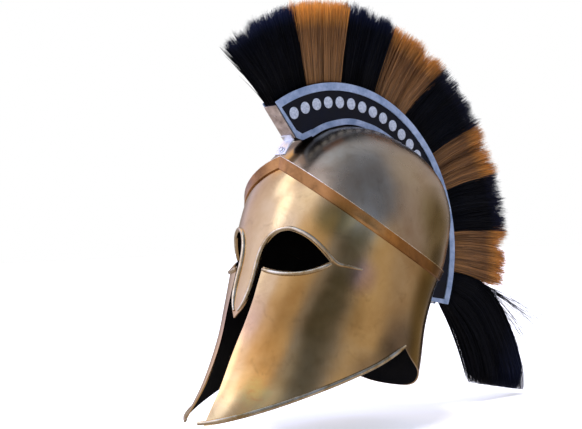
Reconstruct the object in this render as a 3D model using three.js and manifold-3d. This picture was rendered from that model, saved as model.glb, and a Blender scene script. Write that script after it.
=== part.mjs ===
// A Corinthian helmet: a brass-finished sheet steel skull and face shell with a raised brow ridge,
// wire rims round the eyes, nose guard and cheeks, and a fore-and-aft crest box that holds a hair
// plume dyed in nine alternating stretches, the last of which hangs down behind as a tail.
//
// Millimetres. X to the wearer's left, Y to the back, Z up. While it is being built, the helmet
// stands in its own frame, with z = 0 at the cheek tips and the lowest edge of the neck guard.
// The finished group is moved so that its origin is where the crown sits on the wearer's head.

import * as THREE from 'three';
import { mergeVertices } from 'three/addons/utils/BufferGeometryUtils.js';
import Module from 'manifold-3d';

const wasm = await Module();
wasm.setup();

// ---------------------------------------------------------------- driving dimensions

const SHEET = 1.4; // wall of the skull and the face shell
const GAP = 0.3; // air between pieces that touch
const LIE = 0.6; // the same for strips on the skin, whose flat facets stray from the true curve
const CROWN_TOP = 277; // outside of the crown above the lower edges
const CROWN_Y = 15; // the crown's highest point, behind the ears' line by this much

// The outer skin, from below the rim up to the crown. Each row is one level: `at` is the row's
// place along the profile, z its height, front and back the ends of the middle line, half the
// half width, mid where it is widest, and the exponents say how square each half is.
const SKIN = [
  { at: 0, z: -14, front: -197, back: 70, half: 72, mid: -12, frontPower: 1.9, backPower: 2.2 },
  { at: 10, z: 0, front: -187, back: 75, half: 75, mid: -10, frontPower: 1.9, backPower: 2.2 },
  { at: 22, z: 30, front: -164, back: 81, half: 79, mid: -5, frontPower: 1.9, backPower: 2.2 },
  { at: 36, z: 70, front: -143, back: 90, half: 83, mid: 0, frontPower: 1.9, backPower: 2.1 },
  { at: 48, z: 100, front: -131, back: 103, half: 87, mid: 3, frontPower: 1.95, backPower: 2.05 },
  { at: 60, z: 137, front: -117, back: 126, half: 92, mid: 8, frontPower: 2, backPower: 2 },
  { at: 74, z: 178, front: -103, back: 134, half: 96, mid: 13, frontPower: 2, backPower: 2 },
  { at: 92, z: 210, front: -89, back: 126.5, half: 91.5, mid: 15, frontPower: 2, backPower: 2 },
  { at: 112, z: 240, front: -67, back: 103, half: 76, mid: 15, frontPower: 2, backPower: 2 },
  { at: 130, z: 260, front: -42, back: 73, half: 53, mid: 15, frontPower: 2, backPower: 2 },
  { at: 146, z: 272.5, front: -14, back: 43, half: 27.5, mid: 15, frontPower: 2, backPower: 2 },
  { at: 162, z: CROWN_TOP, front: 15, back: 15, half: 0, mid: CROWN_Y, frontPower: 2, backPower: 2 },
];
const SKIN_TOP = SKIN[SKIN.length - 1].at;
const FINENESS = {
  wall: { levels: 18, sides: 44 }, // of the skull and the face shell
  clearance: { levels: 26, sides: 56 }, // of the body that keeps the brackets off the skin
  ridge: 56, // stations round the brow ridge
};

// The brow ridge lies along two planes that meet on the middle line, like a roof.
const RIDGE = {
  side: 0.47, // fall of the ridge for each millimetre sideways
  rear: 0.55, // and for each millimetre to the back
  crest: 203.5, // height of the ridge's crest line at the origin
  foot: 191, // height of its lower edge
  frontProud: 7, // how far the crest stands off the skin at the peak
  rearProud: 2.3, // and at the sides and the back
  edge: 1.6, // height of the lower edge over the skin
  tightness: 1.5, // how soon its height falls off from the peak to the sides
  bevel: 0.12, // share of its width that the bevel under the crest line takes
};

// Outline of the face opening for the wearer's left half, seen from the front as [x, z]: the
// nose guard's edge upwards, over the eye, back along the lower lid, then down the cheek.
const NOSE_EDGE = [[2.4, 94], [6.9, 99.5], [10.8, 108], [13, 118], [13.8, 130], [13.8, 142]];
const EYE_ARCH = [[14.9, 151.5], [18.2, 160.5], [23.3, 167], [29.6, 170.6], [38.4, 171.7], [46.8, 168.6],
  [54.5, 163.4], [61.7, 155], [67.2, 146]];
const EYE_CORNER = [69.3, 141.8];
const LOWER_LID = [[64, 138], [56.5, 134.9], [47, 133.8], [38, 134.3], [29, 135.9], [20.3, 138.2]];
const CHEEK_EDGE = [[18.4, 123], [17.6, 107], [15.4, 89], [12.5, 71], [11.3, 55], [11.7, 38], [13, 19],
  [15.4, -2]];
const NOSE_TIP_Z = 91;
const CHEEK_TOP = [19.3, 136.6]; // where the lower lid turns down into the cheek's front edge
const OPENING_FOOT = [16, -40]; // the opening runs out below the cheek tips
const CORNER_TAIL = [[73.5, 139.6], [78.5, 136.6], [83, 133.4]]; // the wire runs on past the eye

// Lower edge of the shell seen from the side as [y, z]: cheek, ear notch and neck guard.
const CHEEK_HEM = [[-190, -3.5], [-150, 5.5], [-110, 15.5], [-60, 29], [-20, 41]];
const EAR_NOTCH = [13.5, 54.5];
const GUARD_HEM = [[24, 43.5], [36, 34.5], [50, 25.5], [60, 17.5], [68, 10.5], [75, 5.5], [84, 2.5],
  [110, 2]];
const HEM_ENDS = { front: [-260, -19], rear: [160, 2], below: -60 }; // where the cut ends, in the open

const RIM = { width: 4.2, height: 2.4 }; // half-round wire soldered round the openings
const HEM_RIM = { width: 4.8, height: 2.4 }; // and along the cheeks' lower edges

// The crest box in the middle plane, round an arc centred in the skull.
const CREST = {
  y: 2, z: 151, // centre of the arcs
  outer: 169, // outer edge of the side frames
  frameWidth: 8, // of the outer arc
  footFrame: 6.2, // of the strip along the skull
  frontFrame: 4, // of the strip along the front end
  front: [[-84, 295], [-58.5, 262.4]], // front end, top and bottom
  chin: [[-51, 260], [-38, 265]], // from the front end's bottom back to the skull, clear of the bracket
  rear: [[157.8, 84.4], [126, 91]], // rear end, outside and inside
  core: 14.4, // width of the block that holds the hair
  panel: 1.4, // side panels
  frame: 1.1, // side frames
  coreIn: { outer: 3, end: 1.5 }, // how far the block stays inside the outline
  panelIn: { outer: 1, end: 1.2 }, // and how far the panels do
  underRear: [90, 96], // the outline's underside behind, inside the skull
  standOff: 1, // clearance over the skull
  notch: { from: 112, to: 146, depth: 2.7 }, // heights between which the ridge passes under, behind
};

// The dots on the side panels: a row along an arc, from an angle round the crest's centre.
const DOTS = {
  count: 20,
  arc: 149.1,
  from: 114.8,
  step: 6.15,
  radius: 5.9,
  top: 0.8, // radius of the raised face, as a share of the foot's
  proud: 0.9,
  sunk: 0.4, // how deep the dots are let into the panel
  margin: 0.6, // between them and the strip along the skull
  sides: 8,
};

// The plate on the crest's front end, with a small pin in it.
const PLATE = { thick: 1.2, foot: 0.5, head: 2.2 }; // foot and head: what it leaves free of the end
const PIN = { foot: 1.1, head: 0.9, height: 0.8, place: 0.66, sides: 10 };

// The two brackets, as the line [y, z] of the face that a strip is bent along, and their rivets.
const FRONT_BRACKET = {
  line: [[-71.5, 245.2], [-65, 254], [-59.2, 260.4], [-63.3, 265.6]],
  thick: 1.8,
  half: 7.5,
};
const FRONT_RIVET = { at: [-69.95, 250.9], turn: 143.5, radius: 3.2, height: 2 };
const REAR_BRACKET = {
  line: [[138, 89.5], [126, 92], [107, 94.6], [98.5, 86], [92.4, 72]],
  thick: 1.6,
  half: 7,
};
const REAR_RIVET = { at: [97.6, 78.6], turn: -23.5, radius: 3, height: 1.8 };

// The plume. Each border is an angle round the crest's centre at the root and at the tip, with
// the tip's distance; a stretch of hair lies between two borders.
const PLUME = {
  root: 166.6, // distance of the roots from the crest's centre
  backing: 5, // depth of the bound roots
  rootHalf: 7, // half thickness at the root
  tipHalf: 11.5, // and near the tips
  ragged: 5, // how much the locks differ in length
};
const HAIR_BORDERS = [
  { root: 120.6, tip: 124.6, reach: 239 },
  { root: 104.5, tip: 103.4, reach: 250 },
  { root: 88.8, tip: 86.2, reach: 253 },
  { root: 72, tip: 69.5, reach: 251 },
  { root: 55.6, tip: 50.5, reach: 256 },
  { root: 35.9, tip: 32.4, reach: 258 },
  { root: 20.8, tip: 17.5, reach: 262 },
  { root: 5, tip: 2.9, reach: 263 },
  { root: -9.7, tip: -11.3, reach: 258 },
];
const LOCKS = [4, 3, 3, 4, 4, 3, 3, 3]; // locks in each stretch
// The tail's outer and inner edges in the middle plane, as [y, z], from the root down.
const TAIL_OUTER = [[166, 120], [205, 112], [235, 95], [256, 66], [275, 32], [287, 2], [293, -26]];
const TAIL_INNER = [[157.4, 90], [166, 79], [178, 64], [190, 46], [198, 28], [204, 10], [208, -9]];
const TAIL_LOCKS = 4;
const TAIL_END = { wide: 0.85, thick: 0.7 }; // the locks' last station, of what they would have there
const TAIL_ROOF = [[236, 101], [330, 60], [330, -60], [150, -60]]; // the tail's side of its upper border

const COLOURS = {
  brass: { color: 0xb5905a, roughness: 0.28, metalness: 1 },
  skull: { color: 0x9a8668, roughness: 0.28, metalness: 1 },
  rim: { color: 0xcdb48a, roughness: 0.3, metalness: 1 },
  leather: { color: 0x14161d, roughness: 0.6, metalness: 0 },
  trim: { color: 0x93a3bd, roughness: 0.45, metalness: 0.6 },
  plate: { color: 0x8f8072, roughness: 0.5, metalness: 0.8 },
  steel: { color: 0xc9c9c9, roughness: 0.25, metalness: 1 },
  blackHair: { color: 0x0d0e16, roughness: 0.7, metalness: 0 },
  orangeHair: { color: 0xa8692b, roughness: 0.7, metalness: 0 },
};

// ---------------------------------------------------------------- small tools

const CUT = 400; // longer than the helmet, for tools that cut right through
const WIDE = 50; // wider than the crest and the plume, for tools that cut across them
const SEARCH = 40; // halvings, enough for any height to settle

const helmet = new THREE.Group();

function addPiece(name, geometry, finish) {
  const mesh = new THREE.Mesh(geometry, new THREE.MeshStandardMaterial(COLOURS[finish]));
  mesh.name = name;
  helmet.add(mesh);
}

function toSolid(geometry) {
  const plain = geometry.index ? geometry.toNonIndexed() : geometry.clone();
  plain.deleteAttribute('normal');
  plain.deleteAttribute('uv');
  const merged = mergeVertices(plain, 1e-4);
  return new wasm.Manifold(new wasm.Mesh({
    numProp: 3,
    vertProperties: Float32Array.from(merged.attributes.position.array),
    triVerts: Uint32Array.from(merged.index.array),
  }));
}

function toGeometry(solid) {
  const mesh = solid.getMesh();
  const geometry = new THREE.BufferGeometry();
  geometry.setAttribute('position', new THREE.BufferAttribute(mesh.vertProperties, 3));
  geometry.setIndex(new THREE.BufferAttribute(mesh.triVerts, 1));
  geometry.computeVertexNormals();
  return geometry;
}

const mix = (a, b, t) => a + (b - a) * t;

// A closed body from rings of points: ends are capped by a fan unless the rings form a loop.
function loft(rings, loop = false) {
  const sides = rings[0].length;
  const points = rings.flat();
  const faces = [];
  const last = loop ? rings.length : rings.length - 1;
  for (let i = 0; i < last; i += 1) {
    const near = i * sides;
    const far = ((i + 1) % rings.length) * sides;
    for (let j = 0; j < sides; j += 1) {
      const k = (j + 1) % sides;
      faces.push(near + j, near + k, far + k, near + j, far + k, far + j);
    }
  }
  if (!loop) {
    for (const [start, flip] of [[0, true], [(rings.length - 1) * sides, false]]) {
      const middle = new THREE.Vector3();
      for (let j = 0; j < sides; j += 1) middle.addScaledVector(points[start + j], 1 / sides);
      points.push(middle);
      const hub = points.length - 1;
      for (let j = 0; j < sides; j += 1) {
        const k = (j + 1) % sides;
        if (flip) faces.push(hub, start + k, start + j);
        else faces.push(hub, start + j, start + k);
      }
    }
  }
  const geometry = new THREE.BufferGeometry();
  geometry.setAttribute('position', new THREE.Float32BufferAttribute(points.flatMap((p) => p.toArray()), 3));
  geometry.setIndex(faces);
  return geometry;
}

// A smooth rising or falling curve through the rows of SKIN, by one of their columns.
function column(name) {
  const at = SKIN.map((row) => row.at);
  const value = SKIN.map((row) => row[name]);
  const step = at.slice(1).map((a, i) => a - at[i]);
  const rise = step.map((h, i) => (value[i + 1] - value[i]) / h);
  const slope = value.map((v, i) => {
    if (i === 0) return rise[0];
    if (i === value.length - 1) return name === 'z' ? 0 : rise[i - 1];
    if (rise[i - 1] * rise[i] <= 0) return 0;
    const a = 2 * step[i] + step[i - 1];
    const b = step[i] + 2 * step[i - 1];
    return (a + b) / (a / rise[i - 1] + b / rise[i]);
  });
  return (u) => {
    let i = 0;
    while (i < step.length - 1 && u > at[i + 1]) i += 1;
    const t = (u - at[i]) / step[i];
    return (1 + 2 * t) * (1 - t) ** 2 * value[i] + t * (1 - t) ** 2 * step[i] * slope[i]
      + t * t * (3 - 2 * t) * value[i + 1] + t * t * (t - 1) * step[i] * slope[i + 1];
  };
}
const skinColumn = {};
for (const name of ['z', 'front', 'back', 'half', 'mid', 'frontPower', 'backPower']) {
  skinColumn[name] = column(name);
}

// A point of the outer skin: u along the profile, angle 0 at the front and 180 at the back.
function skinPoint(u, angle) {
  const c = Math.cos(angle);
  const s = Math.sin(angle);
  const power = c > 0 ? skinColumn.frontPower(u) : skinColumn.backPower(u);
  const mid = skinColumn.mid(u);
  const reach = c > 0 ? mid - skinColumn.front(u) : skinColumn.back(u) - mid;
  return new THREE.Vector3(
    skinColumn.half(u) * Math.sign(s) * Math.abs(s) ** (2 / power),
    mid - Math.sign(c) * reach * Math.abs(c) ** (2 / power),
    skinColumn.z(u),
  );
}

function skinNormal(u, angle) {
  if (u > SKIN_TOP - 0.5) return new THREE.Vector3(0, 0, 1);
  const small = 0.002;
  const along = skinPoint(u + 0.2, angle).sub(skinPoint(u - 0.2, angle));
  const round = skinPoint(u, angle + small).sub(skinPoint(u, angle - small));
  return round.cross(along).normalize();
}

function skinOffset(u, angle, offset) {
  return skinPoint(u, angle).addScaledVector(skinNormal(u, angle), offset);
}

// The solid inside the skin, grown by an offset, or shrunk where that is negative.
function skinSolid(offset, lowest, { levels, sides }) {
  const rings = [];
  for (let i = 0; i < levels; i += 1) {
    const u = lowest + (SKIN_TOP - 3 - lowest) * i / (levels - 1);
    const ring = [];
    for (let j = 0; j < sides; j += 1) ring.push(skinOffset(u, 2 * Math.PI * j / sides, offset));
    rings.push(ring);
  }
  const geometry = loft(rings);
  const apex = geometry.attributes.position.count - 1;
  geometry.attributes.position.setXYZ(apex, 0, CROWN_Y, CROWN_TOP + offset);
  return toSolid(geometry);
}

// The place on the skin, on the wearer's left front, that is seen at [x, z] from the front.
function skinFromFront(x, z) {
  let low = 0;
  let high = SKIN_TOP;
  for (let i = 0; i < SEARCH; i += 1) {
    const u = (low + high) / 2;
    if (skinColumn.z(u) < z) low = u;
    else high = u;
  }
  const ratio = Math.min(1, Math.abs(x) / skinColumn.half(low));
  return { u: low, angle: Math.sign(x || 1) * Math.asin(ratio ** (skinColumn.frontPower(low) / 2)) };
}

// The place on the skin, on the wearer's left, that is seen at [y, z] from the side.
function skinFromSide(y, z) {
  const level = skinFromFront(0, z).u;
  const mid = skinColumn.mid(level);
  const front = y < mid;
  const reach = front ? mid - skinColumn.front(level) : skinColumn.back(level) - mid;
  const power = front ? skinColumn.frontPower(level) : skinColumn.backPower(level);
  const c = Math.min(1, Math.abs(y - mid) / reach) ** (power / 2);
  return { u: level, angle: Math.acos(front ? c : -c) };
}

function smoothLine(points, count) {
  const curve = new THREE.CatmullRomCurve3(points.map(([a, b]) => new THREE.Vector3(a, b, 0)));
  return curve.getSpacedPoints(count).map((p) => [p.x, p.y]);
}

// ---------------------------------------------------------------- skull and face shell

// Everything above the ridge's roof-shaped surface, whose height at the origin is given.
function aboveRidge(height) {
  const roof = new THREE.Shape();
  roof.moveTo(-CUT, height - RIDGE.side * CUT);
  roof.lineTo(0, height);
  roof.lineTo(CUT, height - RIDGE.side * CUT);
  roof.lineTo(CUT, height + CUT);
  roof.lineTo(-CUT, height + CUT);
  const block = new THREE.ExtrudeGeometry(roof, { depth: 2 * CUT, bevelEnabled: false });
  // Stand it up, so that its length runs to the back, and let it fall towards the back.
  block.applyMatrix4(new THREE.Matrix4().set(
    1, 0, 0, 0,
    0, 0, -1, CUT,
    0, 1, RIDGE.rear, -RIDGE.rear * CUT,
    0, 0, 0, 1,
  ));
  return toSolid(block);
}

function faceOpening() {
  const half = [
    ...smoothLine([[0, NOSE_TIP_Z], ...NOSE_EDGE, ...EYE_ARCH, EYE_CORNER], 34),
    ...smoothLine([EYE_CORNER, ...LOWER_LID], 12).slice(1),
    ...smoothLine([CHEEK_TOP, ...CHEEK_EDGE], 14),
    OPENING_FOOT,
  ];
  const outline = [...half, ...half.slice(1).reverse().map(([x, z]) => [-x, z])];
  const shape = new THREE.Shape(outline.map(([x, z]) => new THREE.Vector2(x, z)));
  const cutter = new THREE.ExtrudeGeometry(shape, { depth: CUT, bevelEnabled: false });
  cutter.rotateX(Math.PI / 2); // now it runs from y = 0 to the front
  return toSolid(cutter);
}

function belowHem() {
  const hem = [
    HEM_ENDS.front,
    ...smoothLine([...CHEEK_HEM, EAR_NOTCH], 12),
    ...smoothLine([EAR_NOTCH, ...GUARD_HEM], 12).slice(1),
    HEM_ENDS.rear,
    [HEM_ENDS.rear[0], HEM_ENDS.below],
    [HEM_ENDS.front[0], HEM_ENDS.below],
  ];
  const shape = new THREE.Shape(hem.map(([y, z]) => new THREE.Vector2(y, z)));
  const cutter = new THREE.ExtrudeGeometry(shape, { depth: 2 * CUT, bevelEnabled: false });
  // The outline's first axis is Y, its second Z, and it is extruded along X.
  cutter.applyMatrix4(new THREE.Matrix4().set(
    0, 0, 1, -CUT,
    1, 0, 0, 0,
    0, 1, 0, 0,
    0, 0, 0, 1,
  ));
  return toSolid(cutter);
}

const seam = (RIDGE.crest + RIDGE.foot) / 2;
const wall = skinSolid(0, 0, FINENESS.wall).subtract(skinSolid(-SHEET, -3, FINENESS.wall));
const skull = wall.intersect(aboveRidge(seam + GAP / 2));
const face = wall.subtract(aboveRidge(seam - GAP / 2)).subtract(faceOpening()).subtract(belowHem());
addPiece('skull_dome', toGeometry(skull), 'skull');
addPiece('face_shell', toGeometry(face), 'brass');

// ---------------------------------------------------------------- brow ridge and rims

// Where the skin meets the roof-shaped surface of a given height, at an angle round the skull.
function skinOnRoof(angle, height) {
  let low = 20;
  let high = SKIN_TOP - 4;
  for (let i = 0; i < SEARCH; i += 1) {
    const u = (low + high) / 2;
    const p = skinPoint(u, angle);
    if (p.z < height - RIDGE.side * Math.abs(p.x) - RIDGE.rear * p.y) low = u;
    else high = u;
  }
  return low;
}

// The ridge as a closed ring, grown by some air for what has to stay off it.
function browRidge(air = 0) {
  const rings = [];
  for (let i = 0; i < FINENESS.ridge; i += 1) {
    const angle = 2 * Math.PI * i / FINENESS.ridge;
    const foot = skinOnRoof(angle, RIDGE.foot - air);
    const crest = skinOnRoof(angle, RIDGE.crest + air);
    const forward = Math.max(0, Math.cos(angle)) ** RIDGE.tightness;
    const proud = RIDGE.rearProud + (RIDGE.frontProud - RIDGE.rearProud) * forward + air;
    rings.push([
      skinOffset(foot, angle, LIE),
      skinOffset(crest, angle, LIE),
      skinOffset(crest, angle, proud),
      skinOffset(crest, angle, proud).lerp(skinOffset(foot, angle, RIDGE.edge + air), RIDGE.bevel),
      skinOffset(foot, angle, RIDGE.edge + air),
    ]);
  }
  return loft(rings, true);
}
addPiece('brow_ridge', browRidge(), 'brass');

// A half-round strip that lies on the skin along places given as { u, angle }.
function rimStrip(places, { width, height }) {
  const centre = places.map(({ u, angle }) => skinPoint(u, angle));
  const rings = places.map(({ u, angle }, i) => {
    const before = centre[Math.max(0, i - 1)];
    const after = centre[Math.min(centre.length - 1, i + 1)];
    const up = skinNormal(u, angle);
    const across = up.clone().cross(after.clone().sub(before)).normalize();
    const section = [[-0.5, LIE], [0.5, LIE], [0.38, 0.7 * height], [0, height], [-0.38, 0.7 * height]];
    return section.map(([side, out]) => centre[i].clone()
      .addScaledVector(across, side * width)
      .addScaledVector(up, out));
  });
  return loft(rings);
}

// The rims keep half their width off the edge that they follow, to the solid side of it.
function beside(points, distance) {
  return points.map(([a, b], i) => {
    const [a0, b0] = points[Math.max(0, i - 1)];
    const [a1, b1] = points[Math.min(points.length - 1, i + 1)];
    const length = Math.hypot(a1 - a0, b1 - b0);
    return [a - (b1 - b0) / length * distance, b + (a1 - a0) / length * distance];
  });
}

function mirrored(geometry) {
  const copy = geometry.clone();
  copy.scale(-1, 1, 1);
  const index = copy.index.array;
  for (let i = 0; i < index.length; i += 3) {
    [index[i], index[i + 1]] = [index[i + 1], index[i]];
  }
  return copy;
}

function addPair(name, geometry, finish) {
  addPiece(`${name}_left`, geometry, finish);
  addPiece(`${name}_right`, mirrored(geometry), finish);
}

const fromFront = ([x, z]) => skinFromFront(x, z);
const fromSide = ([y, z]) => skinFromSide(y, z);

const archLine = beside(smoothLine([...NOSE_EDGE, ...EYE_ARCH, EYE_CORNER], 30), RIM.width / 2);
const upperRim = smoothLine([...archLine.slice(1, -2), ...CORNER_TAIL], 26);
addPair('upper_eye_rim', rimStrip(upperRim.map(fromFront), RIM), 'rim');

const lidLine = beside(smoothLine([EYE_CORNER, ...LOWER_LID], 16), RIM.width / 2);
addPair('lower_eye_rim', rimStrip(lidLine.slice(2).map(fromFront), RIM), 'rim');

const hemLine = beside(smoothLine([...CHEEK_HEM, EAR_NOTCH], 20), HEM_RIM.width / 2);
addPair('cheek_rim', rimStrip(hemLine.slice(1).map(fromSide), HEM_RIM), 'rim');

// ---------------------------------------------------------------- crest box

// A point of the middle plane at an angle and distance from the crest's centre.
function crestPoint(degrees, distance) {
  const a = THREE.MathUtils.degToRad(degrees);
  return [CREST.y + distance * Math.cos(a), CREST.z + distance * Math.sin(a)];
}
const angleOf = ([y, z]) => THREE.MathUtils.radToDeg(Math.atan2(z - CREST.z, y - CREST.y));

// An outline in the middle plane, made into a slab from x = from to x = to.
function slab(outline, from, to) {
  const shape = new THREE.Shape(outline.map(([y, z]) => new THREE.Vector2(y, z)));
  const block = new THREE.ExtrudeGeometry(shape, { depth: to - from, bevelEnabled: false });
  block.applyMatrix4(new THREE.Matrix4().set(
    0, 0, 1, from,
    1, 0, 0, 0,
    0, 1, 0, 0,
    0, 0, 0, 1,
  ));
  return toSolid(block);
}

function arcLine(from, to, distance, steps) {
  const line = [];
  for (let i = 0; i <= steps; i += 1) line.push(crestPoint(from + (to - from) * i / steps, distance));
  return line;
}

const NAPE_U = 24; // where the skull's outline starts, low on the nape
const [frontTop, frontFoot] = CREST.front;
const [rearOut, rearIn] = CREST.rear;
const endLength = Math.hypot(frontTop[0] - frontFoot[0], frontTop[1] - frontFoot[1]);
const endSlope = Math.atan2(frontFoot[1] - frontTop[1], frontFoot[0] - frontTop[0]); // from its top down

// The side view of the crest box, drawn in by a margin at the outer arc, at both ends, and under
// the chin.
function crestOutline(outerMargin, endMargin, chinMargin = 0) {
  const [downY, downZ] = [Math.cos(endSlope), Math.sin(endSlope)];
  const inward = ([y, z]) => [y - downZ * endMargin, z + downY * endMargin];
  const top = inward(frontTop);
  const [footY, footZ] = inward(frontFoot);
  const [chinFront, chinRear] = CREST.chin.map(([y, z]) => [y, z + chinMargin]);
  const outer = CREST.outer - outerMargin;
  const start = angleOf(top);
  const end = angleOf([rearOut[0], rearOut[1] + endMargin]);
  return [
    ...arcLine(start, end, outer, 30),
    [rearIn[0], rearIn[1] + endMargin],
    [CREST.underRear[0], CREST.underRear[1] + endMargin],
    [CREST.y, CREST.z],
    chinRear,
    chinFront,
    [footY - downY * chinMargin, footZ - downZ * chinMargin],
  ];
}

// The skull's outline in the middle plane, grown by an offset, from the nape over to the brow,
// with a shallow step where the ridge passes under the rear of the crest.
function skullOutline(offset) {
  const { from, to, depth } = CREST.notch;
  const nape = Array.from({ length: 22 }, (_, i) => mix(NAPE_U, SKIN_TOP - 1, i / 22));
  const notch = [from, to].map((z) => skinFromFront(0, z).u);
  const rear = nape.concat(notch, notch.map((u) => u + 0.01)).sort((a, b) => a - b);
  const line = rear.map((u) => {
    const { y, z } = skinOffset(u, Math.PI, offset + (u > notch[0] && u <= notch[1] ? depth : 0));
    return [y, z];
  });
  for (const u of [SKIN_TOP - 1, ...nape.reverse()]) {
    const { y, z } = skinOffset(u, 0, offset);
    line.push([y, z]);
  }
  return line;
}

const underCrest = slab(skullOutline(CREST.standOff), -WIDE, WIDE);
// The strip along the skull narrows where it would run under the dots.
const insideDots = slab(arcLine(0, 350, DOTS.arc - DOTS.radius - DOTS.margin, 35), -WIDE, WIDE);
const underFrame = slab(skullOutline(CREST.standOff + CREST.footFrame), -WIDE, WIDE).intersect(insideDots);
const coreHalf = CREST.core / 2;
const panelIn = coreHalf + GAP;
const panelOut = panelIn + CREST.panel;
const frameIn = panelOut + GAP;
const frameOut = frameIn + CREST.frame;

const core = slab(crestOutline(CREST.coreIn.outer, CREST.coreIn.end), -coreHalf, coreHalf)
  .subtract(underCrest);
addPiece('crest_core', toGeometry(core), 'leather');

function sidePanel() {
  let panel = slab(crestOutline(CREST.panelIn.outer, CREST.panelIn.end), panelIn, panelOut)
    .subtract(underCrest);
  for (let i = 0; i < DOTS.count; i += 1) {
    const [y, z] = crestPoint(DOTS.from - DOTS.step * i, DOTS.arc);
    const dot = new THREE.CylinderGeometry(
      DOTS.radius * DOTS.top, DOTS.radius, DOTS.proud + DOTS.sunk, DOTS.sides,
    );
    dot.rotateZ(-Math.PI / 2);
    dot.translate(panelOut + (DOTS.proud - DOTS.sunk) / 2, y, z);
    panel = panel.add(toSolid(dot));
  }
  return toGeometry(panel);
}
addPair('crest_panel', sidePanel(), 'leather');

function sideFrame() {
  const whole = slab(crestOutline(0, 0), frameIn, frameOut).subtract(underCrest);
  const opening = crestOutline(CREST.frameWidth, CREST.frontFrame, CREST.footFrame);
  const window = slab(opening, frameIn - 1, frameOut + 1).subtract(underFrame);
  return toGeometry(whole.subtract(window));
}
addPair('crest_frame', sideFrame(), 'trim');

// The metal plate that closes the box's front end, lying GAP in front of it.

// A box laid on the crest's front end: along its slope from the foot, and out from it.
function onFrontEnd(start, end, out, thick, halfWidth) {
  const box = new THREE.BoxGeometry(2 * halfWidth, end - start, thick);
  box.translate(0, (start + end) / 2, out + thick / 2);
  box.rotateX(endSlope + Math.PI);
  box.translate(0, frontFoot[0], frontFoot[1]);
  return box;
}
const plate = onFrontEnd(PLATE.foot, endLength - PLATE.head, GAP, PLATE.thick, panelOut);
addPiece('crest_front_plate', plate, 'plate');

const pin = new THREE.CylinderGeometry(PIN.head, PIN.foot, PIN.height, PIN.sides);
pin.rotateX(Math.PI / 2);
pin.translate(0, PIN.place * endLength, 2 * GAP + PLATE.thick + PIN.height / 2);
pin.rotateX(endSlope + Math.PI);
pin.translate(0, ...frontFoot);
addPiece('front_plate_pin', pin, 'plate');

// ---------------------------------------------------------------- brackets

// A strip bent along a line of [y, z] points, with its thickness to the left of its run.
function bentStrip({ line, thick, half }) {
  const back = beside(line, thick).reverse();
  return slab([...line, ...back], -half, half);
}

const keepOff = skinSolid(LIE, 20, FINENESS.clearance);
const ridgeAndAir = toSolid(browRidge(0.5));

// The front bracket: from the ridge's peak up over the crown, then up the front plate's foot.
const frontStrip = bentStrip(FRONT_BRACKET).subtract(keepOff).subtract(ridgeAndAir);
addPiece('front_bracket', toGeometry(frontStrip), 'steel');

// A round-headed rivet on a face of the middle plane that looks along a direction.
function rivet({ at, turn, radius, height }) {
  const profile = [[0, 0], [radius, 0], [radius, 0.3 * height], [0.75 * radius, 0.8 * height], [0, height]];
  const head = new THREE.LatheGeometry(profile.map(([r, h]) => new THREE.Vector2(r, h)), 16);
  head.rotateX(THREE.MathUtils.degToRad(turn));
  head.translate(0, ...at);
  return head;
}
addPiece('front_rivet', rivet(FRONT_RIVET), 'steel');

// The rear bracket: under the crest's rear end, and down the nape.
const rearStrip = bentStrip(REAR_BRACKET).subtract(keepOff);
addPiece('rear_bracket', toGeometry(rearStrip), 'steel');
addPiece('rear_rivet', rivet(REAR_RIVET), 'steel');

// ---------------------------------------------------------------- plume

// One lock of hair along a line in the middle plane: a flat six-sided section that swells from
// the root and is drawn in at the tip.
function lock(line, widths, halves) {
  const rings = line.map((point, i) => {
    const before = line[Math.max(0, i - 1)];
    const after = line[Math.min(line.length - 1, i + 1)];
    const length = Math.hypot(after[0] - before[0], after[1] - before[1]);
    const side = [-(after[1] - before[1]) / length, (after[0] - before[0]) / length];
    const section = [[1, 0], [0.55, 1], [-0.55, 1], [-1, 0], [-0.55, -1], [0.55, -1]];
    return section.map(([a, x]) => new THREE.Vector3(
      x * halves[i],
      point[0] + side[0] * a * widths[i],
      point[1] + side[1] * a * widths[i],
    ));
  });
  return toSolid(loft(rings));
}

const mixPoint = (p, q, t) => [mix(p[0], q[0], t), mix(p[1], q[1], t)];
const distance = (p, q) => Math.hypot(p[0] - q[0], p[1] - q[1]);

function backing(from, to) {
  const outline = [
    ...arcLine(from, to, PLUME.root + PLUME.backing, 5),
    ...arcLine(to, from, PLUME.root, 5),
  ];
  return slab(outline, -PLUME.rootHalf, PLUME.rootHalf);
}

// Stations along a lock: the share of its length, and what is left there of its full width
// and of its thickness.
const STATIONS = [
  { share: 0, wide: 1, thick: PLUME.rootHalf / PLUME.tipHalf },
  { share: 0.55, wide: 1, thick: 0.9 },
  { share: 0.9, wide: 0.95, thick: 0.95 },
  { share: 1, wide: 0.6, thick: 0.5 },
];

const OVERLAP = 0.68; // half width of a lock, as a share of its stretch: over a half, locks fuse
const TAIL_OVERLAP = 0.74; // the same in the tail
const BEND = 1.3; // how late along a lock its turn away from the root's direction comes
const SPACING = 0.12; // degrees left free between two stretches
const PAST_TIPS = 20; // how far beyond the tips a border runs
const FIRST_SPREAD = 6; // degrees by which the first stretch's tips may pass its front border

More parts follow.
